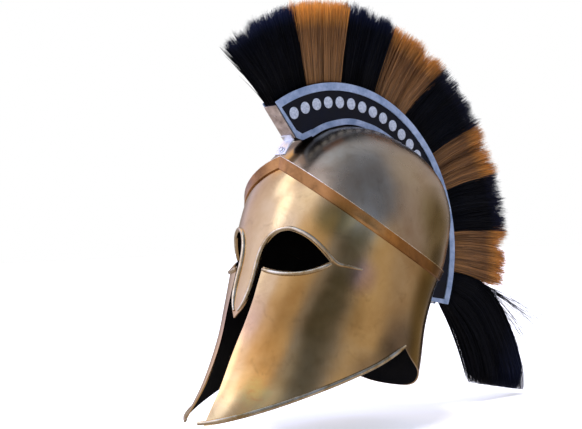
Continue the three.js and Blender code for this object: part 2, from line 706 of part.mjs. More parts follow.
function plumeStretch(number) {
  const a = HAIR_BORDERS[number];
  const b = HAIR_BORDERS[number + 1];
  const count = LOCKS[number];
  let body = backing(a.root - SPACING, b.root + SPACING);
  for (let i = 0; i < count; i += 1) {
    const t = (i + 0.5) / count;
    const reach = mix(a.reach, b.reach, t) - PLUME.ragged * ((i * 2 + number) % 3) / 2;
    const rootAngle = mix(a.root, b.root, t);
    const tipAngle = mix(a.tip, b.tip, t);
    const line = STATIONS.map(({ share }) => crestPoint(
      mix(rootAngle, tipAngle, share ** BEND),
      mix(PLUME.root + 1, reach, share),
    ));
    const widths = STATIONS.map(({ share, wide }, k) => {
      const degrees = mix(a.root - b.root, a.tip - b.tip, share) * OVERLAP / count;
      return distance(line[k], [CREST.y, CREST.z]) * THREE.MathUtils.degToRad(degrees) * wide;
    });
    body = body.add(lock(line, widths, STATIONS.map(({ thick }) => thick * PLUME.tipHalf)));
  }
  return body;
}

// A border from below the roots to past the tips, turned towards the front by some degrees.
function borderLine({ root, tip, reach }, turn) {
  return STATIONS.map(({ share }) => crestPoint(
    mix(root, tip, share ** BEND) + turn,
    mix(PLUME.root - PLUME.backing, reach + PAST_TIPS, share),
  ));
}

// What keeps each stretch on its own side of its borders: a wedge between them.
function wedge(number) {
  const a = HAIR_BORDERS[number];
  const b = HAIR_BORDERS[number + 1];
  const front = number === 0 ? borderLine({ ...a, tip: a.tip + FIRST_SPREAD }, 0) : borderLine(a, -SPACING);
  return slab([...front, ...borderLine(b, SPACING).reverse()], -WIDE, WIDE);
}

for (let number = 0; number < LOCKS.length; number += 1) {
  const colour = number % 2 === 0 ? 'black' : 'orange';
  const solid = plumeStretch(number).intersect(wedge(number));
  addPiece(`plume_${number + 1}_${colour}`, toGeometry(solid), `${colour}Hair`);
}

function plumeTail() {
  const border = HAIR_BORDERS[HAIR_BORDERS.length - 1];
  const root = border.root - SPACING;
  const end = angleOf([rearOut[0], rearOut[1] + CREST.coreIn.end]);
  let body = backing(root, end);
  const last = 8; // stations along a lock of the tail, after its root
  const outer = smoothLine(TAIL_OUTER, last);
  const inner = smoothLine(TAIL_INNER, last);
  for (let i = 0; i < TAIL_LOCKS; i += 1) {
    const t = (i + 0.5) / TAIL_LOCKS;
    const line = outer.map((point, k) => mixPoint(point, inner[k], t));
    const widths = line.map((point, k) => TAIL_OVERLAP * distance(outer[k], inner[k]) / TAIL_LOCKS);
    const halves = line.map((point, k) => mix(PLUME.rootHalf, PLUME.tipHalf, Math.min(1, 2 * k / last)));
    widths[last] *= TAIL_END.wide;
    halves[last] *= TAIL_END.thick;
    body = body.add(lock(line, widths, halves));
  }
  const roof = slab([
    ...borderLine(border, -SPACING).slice(0, 2),
    ...TAIL_ROOF,
    crestPoint(end, PLUME.root),
    crestPoint(mix(root, end, 0.5), PLUME.root),
  ], -WIDE, WIDE);
  const coreAndAir = slab(crestOutline(CREST.coreIn.outer - GAP, 0), -coreHalf - GAP, coreHalf + GAP);
  return body.intersect(roof).subtract(coreAndAir);
}
addPiece('plume_9_tail', toGeometry(plumeTail()), 'blackHair');

// ---------------------------------------------------------------- the whole helmet

helmet.position.set(0, -CROWN_Y, -(CROWN_TOP - SHEET));
helmet.updateMatrixWorld(true);

export default helmet;
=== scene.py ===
"""A Corinthian helmet in brass-finished sheet steel, with a crest box and a dyed hair plume.

Every form below is drawn in the helmet's own frame, in millimetres: X to the wearer's left, Y to
the back, Z up from the cheek tips. add_piece() moves it to the shared frame, in metres, whose
origin is the crown of the head.
"""
import math

import bpy
import numpy as np
from mathutils import Matrix, Vector


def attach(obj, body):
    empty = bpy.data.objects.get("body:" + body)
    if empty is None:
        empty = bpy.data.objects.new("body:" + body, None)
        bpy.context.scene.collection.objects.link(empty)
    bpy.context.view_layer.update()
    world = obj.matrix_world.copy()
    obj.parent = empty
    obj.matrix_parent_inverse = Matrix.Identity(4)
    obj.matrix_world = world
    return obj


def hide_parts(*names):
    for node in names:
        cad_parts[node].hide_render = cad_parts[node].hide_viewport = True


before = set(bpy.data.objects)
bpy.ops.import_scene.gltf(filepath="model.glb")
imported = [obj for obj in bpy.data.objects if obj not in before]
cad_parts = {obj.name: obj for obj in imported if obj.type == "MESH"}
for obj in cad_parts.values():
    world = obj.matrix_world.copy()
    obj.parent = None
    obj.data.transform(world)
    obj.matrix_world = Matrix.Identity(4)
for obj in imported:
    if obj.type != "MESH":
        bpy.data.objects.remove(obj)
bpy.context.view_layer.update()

# ---------------- driving dimensions

MM = 0.001
SHEET = 1.4  # wall of the skull and the face shell
GAP = 0.3  # between two pieces that touch on the real helmet
CROWN_TOP = 277.0
CROWN_Y = 15.0
ORIGIN = np.array([0.0, CROWN_Y, CROWN_TOP - SHEET])

# The outer skin: place along the profile, height, front, back, half width, where it is widest,
# and how square the front and the back half of the level are.
SKIN = np.array([
    [0, -14, -197, 70, 72, -12, 1.9, 2.2],
    [10, 0, -187, 75, 75, -10, 1.9, 2.2],
    [22, 30, -164, 81, 79, -5, 1.9, 2.2],
    [36, 70, -143, 90, 83, 0, 1.9, 2.1],
    [48, 100, -131, 103, 87, 3, 1.95, 2.05],
    [60, 137, -117, 126, 92, 8, 2, 2],
    [74, 178, -103, 134, 96, 13, 2, 2],
    [92, 210, -89, 126.5, 91.5, 15, 2, 2],
    [112, 240, -67, 103, 76, 15, 2, 2],
    [130, 260, -42, 73, 53, 15, 2, 2],
    [146, 272.5, -14, 43, 27.5, 15, 2, 2],
    [162, CROWN_TOP, 15, 15, 0, CROWN_Y, 2, 2],
])
SKIN_TOP = SKIN[-1, 0]

# The brow ridge lies along two planes that meet on the middle line, like a roof.
RIDGE_SIDE, RIDGE_REAR = 0.47, 0.55
RIDGE_CREST, RIDGE_FOOT = 203.5, 191.0
RIDGE_FRONT_PROUD, RIDGE_REAR_PROUD, RIDGE_EDGE = 7.0, 2.3, 1.6

NOSE_EDGE = [(2.4, 94), (6.9, 99.5), (10.8, 108), (13, 118), (13.8, 130), (13.8, 142)]
EYE_ARCH = [(14.9, 151.5), (18.2, 160.5), (23.3, 167), (29.6, 170.6), (38.4, 171.7), (46.8, 168.6),
            (54.5, 163.4), (61.7, 155), (67.2, 146)]
EYE_CORNER = (69.3, 141.8)
LOWER_LID = [(64, 138), (56.5, 134.9), (47, 133.8), (38, 134.3), (29, 135.9), (20.3, 138.2)]
CHEEK_EDGE = [(18.4, 123), (17.6, 107), (15.4, 89), (12.5, 71), (11.3, 55), (11.7, 38), (13, 19),
              (15.4, -2)]
NOSE_TIP_Z = 91.0
CORNER_TAIL = [(73.5, 139.6), (78.5, 136.6), (83, 133.4)]
CHEEK_HEM = [(-190, -3.5), (-150, 5.5), (-110, 15.5), (-60, 29), (-20, 41)]
EAR_NOTCH = (13.5, 54.5)
GUARD_HEM = [(24, 43.5), (36, 34.5), (50, 25.5), (60, 17.5), (68, 10.5), (75, 5.5), (84, 2.5), (110, 2)]

RIM_WIDTH, RIM_HEIGHT = 4.4, 2.6
HEM_RIM_WIDTH, HEM_RIM_HEIGHT = 4.8, 2.4

CREST_Y, CREST_Z = 2.0, 151.0  # centre of the crest's arcs, in the middle plane
CREST_OUTER = 169.0
CREST_FRONT = [(-84, 295), (-58.5, 262.4)]
CREST_REAR = [(157.8, 84.4), (126, 91)]
CREST_CHIN = [(-51, 260), (-38, 265)]
CREST_UNDER_REAR = (90, 96)
FRAME_WIDTH, FOOT_FRAME, FRONT_FRAME = 8.0, 6.2, 4.0
CORE_HALF = 7.2
PANEL, FRAME, END_PLATE = 1.4, 1.1, 1.2  # how thick each is
STAND_OFF = 1.0  # from the skull up to the crest box
SEAT_HALF = 7.0
NOTCH_FROM, NOTCH_TO, NOTCH_DEPTH = 112.0, 146.0, 2.7  # where the ridge passes under the crest, behind
DOT_COUNT, DOT_RADIUS, DOT_ARC, DOT_FROM, DOT_STEP = 20, 5.9, 149.1, 114.8, 6.15
DOT_MARGIN = 0.6  # from the dots to the frame under them
PLATE_FOOT, PLATE_HEAD = 0.5, 2.2  # how far the end plate stops short of the end
SOFT_EDGE, PLATE_EDGE = 0.4, 0.35  # how wide edges are rounded

# Each bracket: its piece and node, its thickness, half width and [y, z] points, then its screw's
# piece and node, place, the direction that it looks in, its radius and its height.
BRACKETS = [
    ("peak_bracket", "front_bracket", 1.8, 7.5,
     [(-71.5, 245.2), (-65, 254), (-59.2, 260.4), (-63.3, 265.6)],
     "peak_screw", "front_rivet", -69.95, 250.9, 143.5, 3.2, 2),
    ("nape_bracket", "rear_bracket", 1.6, 7,
     [(138, 89.5), (126, 92), (107, 94.6), (98.5, 86), (92.4, 72)],
     "nape_screw", "rear_rivet", 97.6, 78.6, -23.5, 3, 1.8),
]

PLUME_ROOT, ROOT_HALF, TIP_HALF, RAGGED = 166.6, 7.0, 11.5, 5.0
# Each border between two stretches of hair: its angle at the root and at the tip, and its reach.
BORDERS = [(120.6, 124.6, 239), (104.5, 103.4, 250), (88.8, 86.2, 253), (72, 69.5, 251),
           (55.6, 50.5, 256), (35.9, 32.4, 258), (20.8, 17.5, 262), (5, 2.9, 263), (-9.7, -11.3, 258)]
TAIL_OUTER = [(166, 120), (205, 112), (235, 95), (256, 66), (275, 32), (287, 2), (293, -26)]
TAIL_INNER = [(157.4, 90), (166, 79), (178, 64), (190, 46), (198, 28), (204, 10), (208, -9)]

# The camera looks at the wearer's left front from level with the brow.
CAMERA_AZIMUTH, CAMERA_ELEVATION, CAMERA_ROLL = 49.17, -0.6, -1.5
CAMERA_DISTANCE = 1.083
CAMERA_TARGET = Vector((0.0, -0.075, -0.0884))
LENS_PER_WIDTH = 1.8900344  # focal length over the picture's width

random = np.random.default_rng(7)


# ---------------- camera

def add_camera():
    azimuth, elevation, roll = (math.radians(a) for a in (CAMERA_AZIMUTH, CAMERA_ELEVATION, CAMERA_ROLL))
    back = Vector((math.sin(azimuth) * math.cos(elevation), -math.cos(azimuth) * math.cos(elevation),
                   math.sin(elevation)))
    level = Vector((math.cos(azimuth), math.sin(azimuth), 0.0))
    right = Matrix.Rotation(roll, 3, back) @ level
    up = back.cross(right)
    data = bpy.data.cameras.new("camera")
    data.sensor_width = 36.0
    data.lens = LENS_PER_WIDTH * data.sensor_width
    data.clip_end = 50.0
    camera = bpy.data.objects.new("camera", data)
    camera.matrix_world = Matrix.Translation(CAMERA_TARGET + back * CAMERA_DISTANCE) @ Matrix(
        (right, up, back)).transposed().to_4x4()
    bpy.context.scene.collection.objects.link(camera)
    bpy.context.scene.camera = camera


add_camera()


# ---------------- materials

# A patch's ragged border, and where it starts to fade and is gone, as shares of its radius.
RAGGEDNESS, FADE_STARTS, FADED_OUT = 0.6, 0.6, 1.8


class Tree:
    """A node tree, with a short way to add nodes and feed them."""

    def __init__(self, owner):
        owner.use_nodes = True
        self.tree = owner.node_tree

    def feed(self, socket, value):
        """Joins a node's output to a socket, or sets its value, with full alpha for a colour."""
        if isinstance(value, bpy.types.NodeSocket):
            self.tree.links.new(value, socket)
        elif socket.type == "RGBA":
            socket.default_value = (*value, 1.0)
        else:
            socket.default_value = value

    def add(self, kind, inputs=None, **settings):
        """A node with its settings, and its inputs fed by name or number."""
        node = self.tree.nodes.new(kind)
        for key, value in settings.items():
            setattr(node, key, value)
        for key, value in (inputs or {}).items():
            self.feed(node.inputs[key], value)
        return node


class Nodes(Tree):
    """A material's node tree."""

    def __init__(self, name):
        self.material = bpy.data.materials.new(name)
        super().__init__(self.material)
        self.shader = self.tree.nodes["Principled BSDF"]

    def set(self, **values):
        """Feeds the shader's sockets, whose names have an underscore for each space here."""
        for key, value in values.items():
            self.feed(self.shader.inputs[key.replace("_", " ")], value)

    def position(self):
        return self.add("ShaderNodeTexCoord").outputs["Object"]

    def stretched(self, scale):
        """Object coordinates scaled by three numbers."""
        inputs = {"Vector": self.position(), "Scale": scale}
        return self.add("ShaderNodeMapping", inputs).outputs["Vector"]

    def noise(self, vector, scale, detail=4.0, roughness=0.55, distortion=0.0):
        inputs = {"Vector": vector, "Scale": scale, "Detail": detail, "Roughness": roughness,
                  "Distortion": distortion}
        return self.add("ShaderNodeTexNoise", inputs).outputs["Fac"]

    def ramp(self, factor, stops):
        """A colour ramp through (place, colour) stops."""
        node = self.add("ShaderNodeValToRGB", {"Fac": factor})
        elements = node.color_ramp.elements
        while len(elements) < len(stops):
            elements.new(0.5)
        for element, (place, colour) in zip(elements, stops):
            element.position = place
            element.color = (*colour, 1.0)
        return node.outputs["Color"]

    def spread(self, factor, low, high, start=0.3, end=0.7):
        """A number from low to high as the factor goes from start to end."""
        inputs = {"Value": factor, "From Min": start, "From Max": end, "To Min": low, "To Max": high}
        return self.add("ShaderNodeMapRange", inputs).outputs["Result"]

    def nearness(self, centre, radius, ragged):
        """1 near a place and its mirror image, falling smoothly to 0, with a ragged border."""
        x, y, z = self.add("ShaderNodeSeparateXYZ", {0: self.position()}).outputs
        x = self.add("ShaderNodeMath", {0: x}, operation="ABSOLUTE").outputs[0]
        folded = self.add("ShaderNodeCombineXYZ", {0: x, 1: y, 2: z}).outputs[0]
        apart = self.add("ShaderNodeVectorMath", {0: folded, 1: centre}, operation="DISTANCE")
        total = self.add("ShaderNodeMath", {0: ragged, 1: RAGGEDNESS * radius, 2: apart.outputs["Value"]},
                         operation="MULTIPLY_ADD").outputs[0]
        inputs = {"Value": total, "From Min": FADED_OUT * radius, "From Max": FADE_STARTS * radius}
        return self.add("ShaderNodeMapRange", inputs, interpolation_type="SMOOTHSTEP").outputs["Result"]

    def mix(self, factor, first, second, blend="MIX"):
        inputs = {0: factor, 6: first, 7: second}
        return self.add("ShaderNodeMix", inputs, data_type="RGBA", blend_type=blend).outputs[2]

    def bump(self, height, strength, distance, **normal):
        """Relief from a height. An earlier relief to add it to can be given as Normal."""
        inputs = {"Height": height, "Strength": strength, "Distance": distance, **normal}
        return self.add("ShaderNodeBump", inputs).outputs["Normal"]


def srgb(text):
    """A colour written as RRGGBB, made linear."""
    values = [int(text[i:i + 2], 16) / 255 for i in (0, 2, 4)]
    return tuple(v / 12.92 if v <= 0.04045 else ((v + 0.055) / 1.055) ** 2.4 for v in values)


# Soft patches painted into the brass's colour, alike on both sides: the paler ones are painted
# reflections and highlights, the darker ones painted shade, and the one behind the ridge's end
# painted shade and a stain together. The place in the helmet's own frame, the radius, and what
# the colour is multiplied by there.
PAINTED_REFLECTION_AND_SHADE = [
    ((28, -144, 44), 40, (1.55, 1.5, 1.45)),
    ((70, -68, 182), 19, (0.42, 0.5, 0.5)),
    ((83, -42, 172), 20, (1.3, 1.45, 1.6)),
    ((80, -52, 140), 18, (1.25, 1.25, 1.35)),
    ((42, -142, 18), 26, (1.4, 1.42, 1.35)),
    ((18, -138, 92), 24, (1.04, 1.0, 1.25)),
    ((82, -16, 52), 15, (0.6, 0.62, 0.66)),
    ((84, 8, 58), 30, (0.42, 0.44, 0.55)),
    ((84, 46, 104), 26, (0.6, 0.6, 0.6)),
    ((76, -38, 36), 20, (0.6, 0.62, 0.75)),
    ((82, -44, 126), 15, (0.82, 0.8, 1.2)),
    ((86, 58, 140), 15, (0.5, 0.47, 0.45)),
    ((80, -58, 92), 16, (0.8, 0.8, 0.78)),
    ((90, 44, 185), 22, (0.7, 0.68, 0.5)),
    ((12, -46, 256), 13, (0.42, 0.34, 0.26)),
]


# Noise patterns: features in a metre, then detail, roughness and distortion where they differ
# from the usual.
CLOUDS = {"scale": 11.0, "detail": 5.0, "roughness": 0.6, "distortion": 0.4}
SPOTS = {"scale": 55.0, "detail": 6.0, "roughness": 0.7, "distortion": 0.8}
PATCH_BORDER = {"scale": 26.0, "detail": 3.0, "roughness": 0.5}
HAZE = {"scale": 24.0, "detail": 4.0, "roughness": 0.6}
SHALLOW_DENTS = {"scale": 14.0, "detail": 1.5, "roughness": 0.4}
FINE_PITS = {"scale": 900.0, "detail": 2.0, "roughness": 0.5}
BRUSHING = {"scale": 1.0, "detail": 2.0, "roughness": 0.5}
BRUSHED_ALONG = (420.0, 420.0, 24.0)  # brushing is drawn out along Z
SPOT_DARKNESS = 0.45


def brass(name, dark, middle, light, roughness=(0.14, 0.24), stain=0.35):
    """Polished antique brass: cloudy lacquer, brown stains, patches of painted reflection and painted
    shade, fine vertical brushing, shallow dents.
    """
    n = Nodes(name)
    dark, middle, light = map(srgb, (dark, middle, light))
    where = n.position()
    clouds = n.noise(where, **CLOUDS)
    colour = n.ramp(clouds, [(0.3, dark), (0.5, middle), (0.72, light)])
    spots = n.noise(where, **SPOTS)
    spot_colour = tuple(SPOT_DARKNESS * c for c in dark)
    stains_and_painted_light = n.mix(n.spread(spots, 0.0, stain, 0.55, 0.75), colour, spot_colour)
    ragged = n.noise(where, **PATCH_BORDER)
    # Painted reflections and painted shade, one patch after another.
    for centre, radius, tint in PAINTED_REFLECTION_AND_SHADE:
        near = n.nearness((np.array(centre) - ORIGIN) * MM, radius * MM, ragged)
        stains_and_painted_light = n.mix(near, stains_and_painted_light, n.mix(1.0, stains_and_painted_light, tint, "MULTIPLY"))
    n.set(Metallic=1.0, Base_Color=stains_and_painted_light)
    n.set(Roughness=n.spread(n.noise(where, **HAZE), *roughness))
    dents = n.bump(n.noise(where, **SHALLOW_DENTS), strength=0.35, distance=0.004)
    brushing = n.noise(n.stretched(BRUSHED_ALONG), **BRUSHING)
    grain = n.bump(brushing, strength=0.05, distance=0.0004, Normal=dents)
    pitting = n.spread(n.noise(where, **FINE_PITS), 0.0, 1.0, start=0.68, end=0.8)
    n.set(Normal=n.bump(pitting, strength=0.12, distance=0.0002, Normal=grain))
    return n.material


def plain_metal(name, dark, light, roughness, scale=60.0, metallic=1.0):
    """Metal mottled between two colours, with finer noise in its gloss and finest in its relief."""
    n = Nodes(name)
    where = n.position()
    mottle = n.noise(where, scale, detail=5.0, roughness=0.65, distortion=0.3)
    n.set(Metallic=metallic, Base_Color=n.ramp(mottle, [(0.35, srgb(dark)), (0.65, srgb(light))]))
    gloss = n.noise(where, 2.3 * scale, detail=3.0)
    n.set(Roughness=n.spread(gloss, roughness - 0.06, roughness + 0.1))
    relief = n.noise(where, 5.0 * scale, detail=3.0, roughness=0.6)
    n.set(Normal=n.bump(relief, strength=0.15, distance=0.0003))
    return n.material


def matt_black(name):
    """Matt black paint inside the shells, kept darker than such paint so that it also stands for the shade
    inside: partly painted shade.
    """
    n = Nodes(name)
    where = n.position()
    mottle = n.noise(where, scale=45.0)
    n.set(Base_Color=n.ramp(mottle, [(0.3, (0.002, 0.002, 0.002)), (0.7, (0.006, 0.005, 0.004))]))
    n.set(Roughness=0.9, Specular_IOR_Level=0.1)
    n.set(Normal=n.bump(n.noise(where, scale=300.0, detail=2.0), strength=0.3, distance=0.0004))
    return n.material


def leather(name):
    """Black leather with a fine cellular grain."""
    n = Nodes(name)
    where = n.position()
    cells = n.add("ShaderNodeTexVoronoi", {"Vector": where, "Scale": 620.0}, feature="DISTANCE_TO_EDGE")
    shade = n.noise(where, scale=70.0)
    n.set(Base_Color=n.ramp(shade, [(0.3, srgb("03050b")), (0.7, srgb("0a0f1e"))]))
    n.set(Roughness=n.spread(shade, 0.5, 0.72), Specular_IOR_Level=0.25)
    n.set(Normal=n.bump(cells.outputs["Distance"], strength=0.4, distance=0.0003))
    return n.material


STRAND_SHADES = [(0.0, (0.3, 0.3, 0.3)), (1.0, (1.0, 1.0, 1.0))]


def hair(name, root, middle, tip, far, sheen):
    """Dyed horse hair: three colours from the roots to far out, the paler ones far out being painted light
    on the tips, and each strand its own shade.
    """
    n = Nodes(name)
    centre = (np.array([0.0, CREST_Y, CREST_Z]) - ORIGIN) * MM
    offset = n.add("ShaderNodeVectorMath", {0: n.position(), 1: centre}, operation="SUBTRACT").outputs[0]
    flat = n.add("ShaderNodeVectorMath", {0: offset, 1: (0.0, 1.0, 1.0)}, operation="MULTIPLY").outputs[0]
    length = n.add("ShaderNodeVectorMath", {0: flat}, operation="LENGTH").outputs["Value"]
    along = n.spread(length, 0.0, 1.0, PLUME_ROOT * MM, far * MM)
    # Paler towards the tips: painted light on the tips.
    colour = n.ramp(along, [(0.0, srgb(root)), (0.66, srgb(middle)), (0.92, srgb(tip))])
    island = n.add("ShaderNodeNewGeometry").outputs["Random Per Island"]
    varied = n.mix(1.0, colour, n.ramp(island, STRAND_SHADES), "MULTIPLY")
    n.set(Base_Color=varied, Roughness=0.5, Specular_IOR_Level=sheen)
    n.set(Normal=n.bump(n.noise(n.position(), scale=900.0, detail=2.0), strength=0.1, distance=0.0002))
    return n.material


# Each material: its name, the function that makes it, and that function's settings in order.
LOOKS = [
    ("brass_face", brass, "b58d55", "cba870", "d8ba88"),
    ("brass_skull", brass, "a58660", "bba480", "cbb795", (0.2, 0.32)),
    # The ridge's brass is darker than the face's: painted shade for the way the band faces.
    ("brass_ridge", brass, "6b4520", "ba8348", "e8b274", (0.18, 0.3), 0.6),
    # A pale metal for the ridge's upper edge: a painted highlight.
    ("worn_edge", plain_metal, "c9ac80", "fff0d4", 0.3, 140.0),
    ("rim_metal", plain_metal, "b3945e", "e8d6b0", 0.22),
    ("inside_black", matt_black),
    ("black_leather", leather),
    ("silver_trim", plain_metal, "7c93b2", "b4c6de", 0.34, 60.0, 0.6),
    ("silver_dot", plain_metal, "9aa5b3", "cdd4dc", 0.5, 420.0, 0.25),
    ("plate_metal", plain_metal, "8f7b6c", "cfbdab", 0.5, 70.0, 0.7),
    ("bracket_steel", plain_metal, "d0d0cc", "ffffff", 0.34, 60.0, 0.8),
    ("black_hair", hair, "06080e", "080b15", "182148", 264.0, 0.15),
    ("tail_hair", hair, "05070d", "070a14", "0e1630", 320.0, 0.12),
    ("orange_hair", hair, "94693c", "98683a", "f4a040", 252.0, 0.3),
]
MATERIALS = {name: make(name, *settings) for name, make, *settings in LOOKS}


# ---------------- making pieces

def add_piece(name, points, faces, slot, replaced=(), materials=(), smooth=40.0, face_materials=None):
    """A piece from points in the helmet's own millimetres, riding on the helmet.

    It wears the material that its slot is named after, unless others are given. face_materials
    then says which of them each face wears.
    """
    mesh = bpy.data.meshes.new(name)
    place = (np.asarray(points, dtype=float) - ORIGIN) * MM
    mesh.from_pydata(place.tolist(), [], [list(map(int, face)) for face in faces])
    for material in materials or [slot]:
        mesh.materials.append(MATERIALS[material])
    if face_materials is not None:
        mesh.polygons.foreach_set("material_index", np.asarray(face_materials, dtype=np.int32))
    mesh.update()
    mesh.shade_smooth()
    mesh.set_sharp_from_angle(angle=math.radians(smooth))
    piece = bpy.data.objects.new(name, mesh)
    bpy.context.scene.collection.objects.link(piece)
    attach(piece, "root")
    if replaced:
        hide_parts(*replaced)
    return piece


def joined(parts):
    """Several (points, faces) as one."""
    points, faces, start = [], [], 0
    for part_points, part_faces in parts:
        points.extend(part_points)
        faces.extend([index + start for index in face] for face in part_faces)
        start += len(part_points)
    return points, faces


def mirrored(part):
    points, faces = part
    flip = np.asarray(points) * (-1, 1, 1)
    return flip, [list(reversed(face)) for face in faces]


def tube_faces(rings, sides, loop=False, caps=True):
    """Quads between rings of points laid one after another, with a face at each end."""
    faces = []
    for i in range(rings if loop else rings - 1):
        near, far = i * sides, (i + 1) % rings * sides
        for j in range(sides):
            k = (j + 1) % sides
            faces.append([near + j, near + k, far + k, far + j])
    if caps and not loop:
        last = (rings - 1) * sides
        faces.append(list(range(sides))[::-1])
        faces.append(list(range(last, last + sides)))
    return faces


def box_part(low, high):
    corners = [(x, y, z) for x in (low[0], high[0]) for y in (low[1], high[1]) for z in (low[2], high[2])]
    faces = [(0, 1, 3, 2), (4, 6, 7, 5), (0, 4, 5, 1), (2, 3, 7, 6), (0, 2, 6, 4), (1, 5, 7, 3)]
    return corners, faces


def scratch(points, faces):
    """A mesh object to cut or to cut with, in the helmet's own millimetres."""
    mesh = bpy.data.meshes.new("cutter")
    mesh.from_pydata([tuple(map(float, p)) for p in points], [], [list(map(int, f)) for f in faces])
    cutter = bpy.data.objects.new("cutter", mesh)
    bpy.context.scene.collection.objects.link(cutter)
    return cutter


def carve(points, faces, steps):
    """The closed body after cutting it: steps are (operation, (points, faces))."""
    body = scratch(points, faces)
    for operation, tool in steps:
        cutter = scratch(*tool)
        modifier = body.modifiers.new("cut", "BOOLEAN")
        modifier.operation = operation
        modifier.solver = "EXACT"
        modifier.object = cutter
        bpy.context.view_layer.update()
        cut = bpy.data.meshes.new_from_object(body.evaluated_get(bpy.context.evaluated_depsgraph_get()))
        body.modifiers.clear()
        body.data = cut
        bpy.data.objects.remove(cutter)
    mesh = body.data
    result = np.array([v.co[:] for v in mesh.vertices]), [list(p.vertices) for p in mesh.polygons]
    bpy.data.objects.remove(body)
    return result


def bevel(piece, width, segments=2, angle=35.0):
    """Rounds the piece's sharp edges by a width in millimetres."""
    modifier = piece.modifiers.new("round_edges", "BEVEL")
    modifier.width = width * MM
    modifier.segments = segments
    modifier.limit_method = "ANGLE"
    modifier.angle_limit = math.radians(angle)
    modifier.harden_normals = True


# ---------------- curves and the skin

CURVE_STEPS = 24  # from one given point of a curve to the next


def smooth_line(points, count):
    """A centripetal Catmull-Rom curve through points, as evenly spaced points."""
    p = np.asarray(points, dtype=float)
    p = np.vstack([2 * p[0] - p[1], p, 2 * p[-1] - p[-2]])
    knots = np.concatenate([[0.0], np.cumsum(np.linalg.norm(np.diff(p, axis=0), axis=1) ** 0.5)])
    dense = []
    for i in range(1, len(p) - 2):
        t = np.linspace(knots[i], knots[i + 1], CURVE_STEPS, endpoint=False)[:, None]
        a = [((knots[i + k] - t) * p[i + k - 1] + (t - knots[i + k - 1]) * p[i + k])
             / (knots[i + k] - knots[i + k - 1]) for k in range(3)]
        b = [((knots[i + k + 1] - t) * a[k] + (t - knots[i + k - 1]) * a[k + 1])
             / (knots[i + k + 1] - knots[i + k - 1]) for k in range(2)]
        dense.append(((knots[i + 1] - t) * b[0] + (t - knots[i]) * b[1]) / (knots[i + 1] - knots[i]))
    dense = np.vstack(dense + [p[-2:-1]])
    run = np.concatenate([[0.0], np.cumsum(np.linalg.norm(np.diff(dense, axis=0), axis=1))])
    even = np.linspace(0.0, run[-1], count + 1)
    return np.stack([np.interp(even, run, dense[:, k]) for k in range(dense.shape[1])], axis=1)


def column(index):
    """A smooth curve through one column of SKIN, that never overshoots."""
    at, value = SKIN[:, 0], SKIN[:, index]
    step = np.diff(at)
    rise = np.diff(value) / step
    slope = np.zeros(len(value))
    slope[0] = rise[0]
    slope[-1] = 0.0 if index == 1 else rise[-1]
    for i in range(1, len(value) - 1):
        if rise[i - 1] * rise[i] > 0:
            a, b = 2 * step[i] + step[i - 1], step[i] + 2 * step[i - 1]
            slope[i] = (a + b) / (a / rise[i - 1] + b / rise[i])

    def curve(u):
        u = np.asarray(u, dtype=float)
        i = np.clip(np.searchsorted(at, u, side="right") - 1, 0, len(step) - 1)
        t = (u - at[i]) / step[i]
        return ((1 + 2 * t) * (1 - t) ** 2 * value[i] + t * (1 - t) ** 2 * step[i] * slope[i]
                + t * t * (3 - 2 * t) * value[i + 1] + t * t * (t - 1) * step[i] * slope[i + 1])
    return curve


skin_z, skin_front, skin_back, skin_half, skin_mid, front_power, back_power = map(column, range(1, 8))
LEVEL_U = np.linspace(0.0, SKIN_TOP, 2000)
LEVEL_Z = skin_z(LEVEL_U)


def skin_point(u, angle):
    """Points of the outer skin: angle 0 at the front, 180 degrees at the back."""
    u, angle = np.broadcast_arrays(np.asarray(u, dtype=float), np.asarray(angle, dtype=float))
    c, s = np.cos(angle), np.sin(angle)
    power = np.where(c > 0, front_power(u), back_power(u))
    mid = skin_mid(u)
    reach = np.where(c > 0, mid - skin_front(u), skin_back(u) - mid)
    x = skin_half(u) * np.sign(s) * np.abs(s) ** (2 / power)
    y = mid - np.sign(c) * reach * np.abs(c) ** (2 / power)
    return np.stack([x, y, skin_z(u)], axis=-1)


STEP_U, STEP_ANGLE = 0.2, 0.002  # how far on each side the skin is sampled for its normal
POLE = 0.5  # this near the crown the skin faces straight up


def skin_normal(u, angle):
    """The outward normal of the skin."""
    u, angle = np.broadcast_arrays(np.asarray(u, dtype=float), np.asarray(angle, dtype=float))
    low, high = np.clip(u - STEP_U, 0, SKIN_TOP), np.clip(u + STEP_U, 0, SKIN_TOP)
    along = skin_point(high, angle) - skin_point(low, angle)
    around = skin_point(u, angle + STEP_ANGLE) - skin_point(u, angle - STEP_ANGLE)
    normal = np.cross(around, along)
    length = np.linalg.norm(normal, axis=-1, keepdims=True)
    top = (u > SKIN_TOP - POLE)[..., None]
    return np.where(top, (0.0, 0.0, 1.0), normal / np.maximum(length, 1e-9))


def skin_offset(u, angle, offset):
    """Points at a distance out from the skin, or inside it where that is negative."""
    return skin_point(u, angle) + skin_normal(u, angle) * np.asarray(offset)[..., None]


def level_at(y, z):
    """The level u at a height, and there the middle, whether y is ahead of it, reach and power."""
    u = np.interp(z, LEVEL_Z, LEVEL_U)
    mid = skin_mid(u)
    front = y < mid
    reach = np.where(front, mid - skin_front(u), skin_back(u) - mid)
    return u, mid, front, reach, np.where(front, front_power(u), back_power(u))


def skin_place(points):
    """The (u, angle) of points on or near the skin, by their height and bearing."""
    x, y, z = np.asarray(points).T
    u, mid, front, reach, power = level_at(y, z)
    s = np.abs(x / np.maximum(skin_half(u), 1e-3)) ** (power / 2)
    c = np.abs((y - mid) / np.maximum(reach, 1e-3)) ** (power / 2)
    return u, np.arctan2(s * np.sign(x), np.where(front, c, -c))


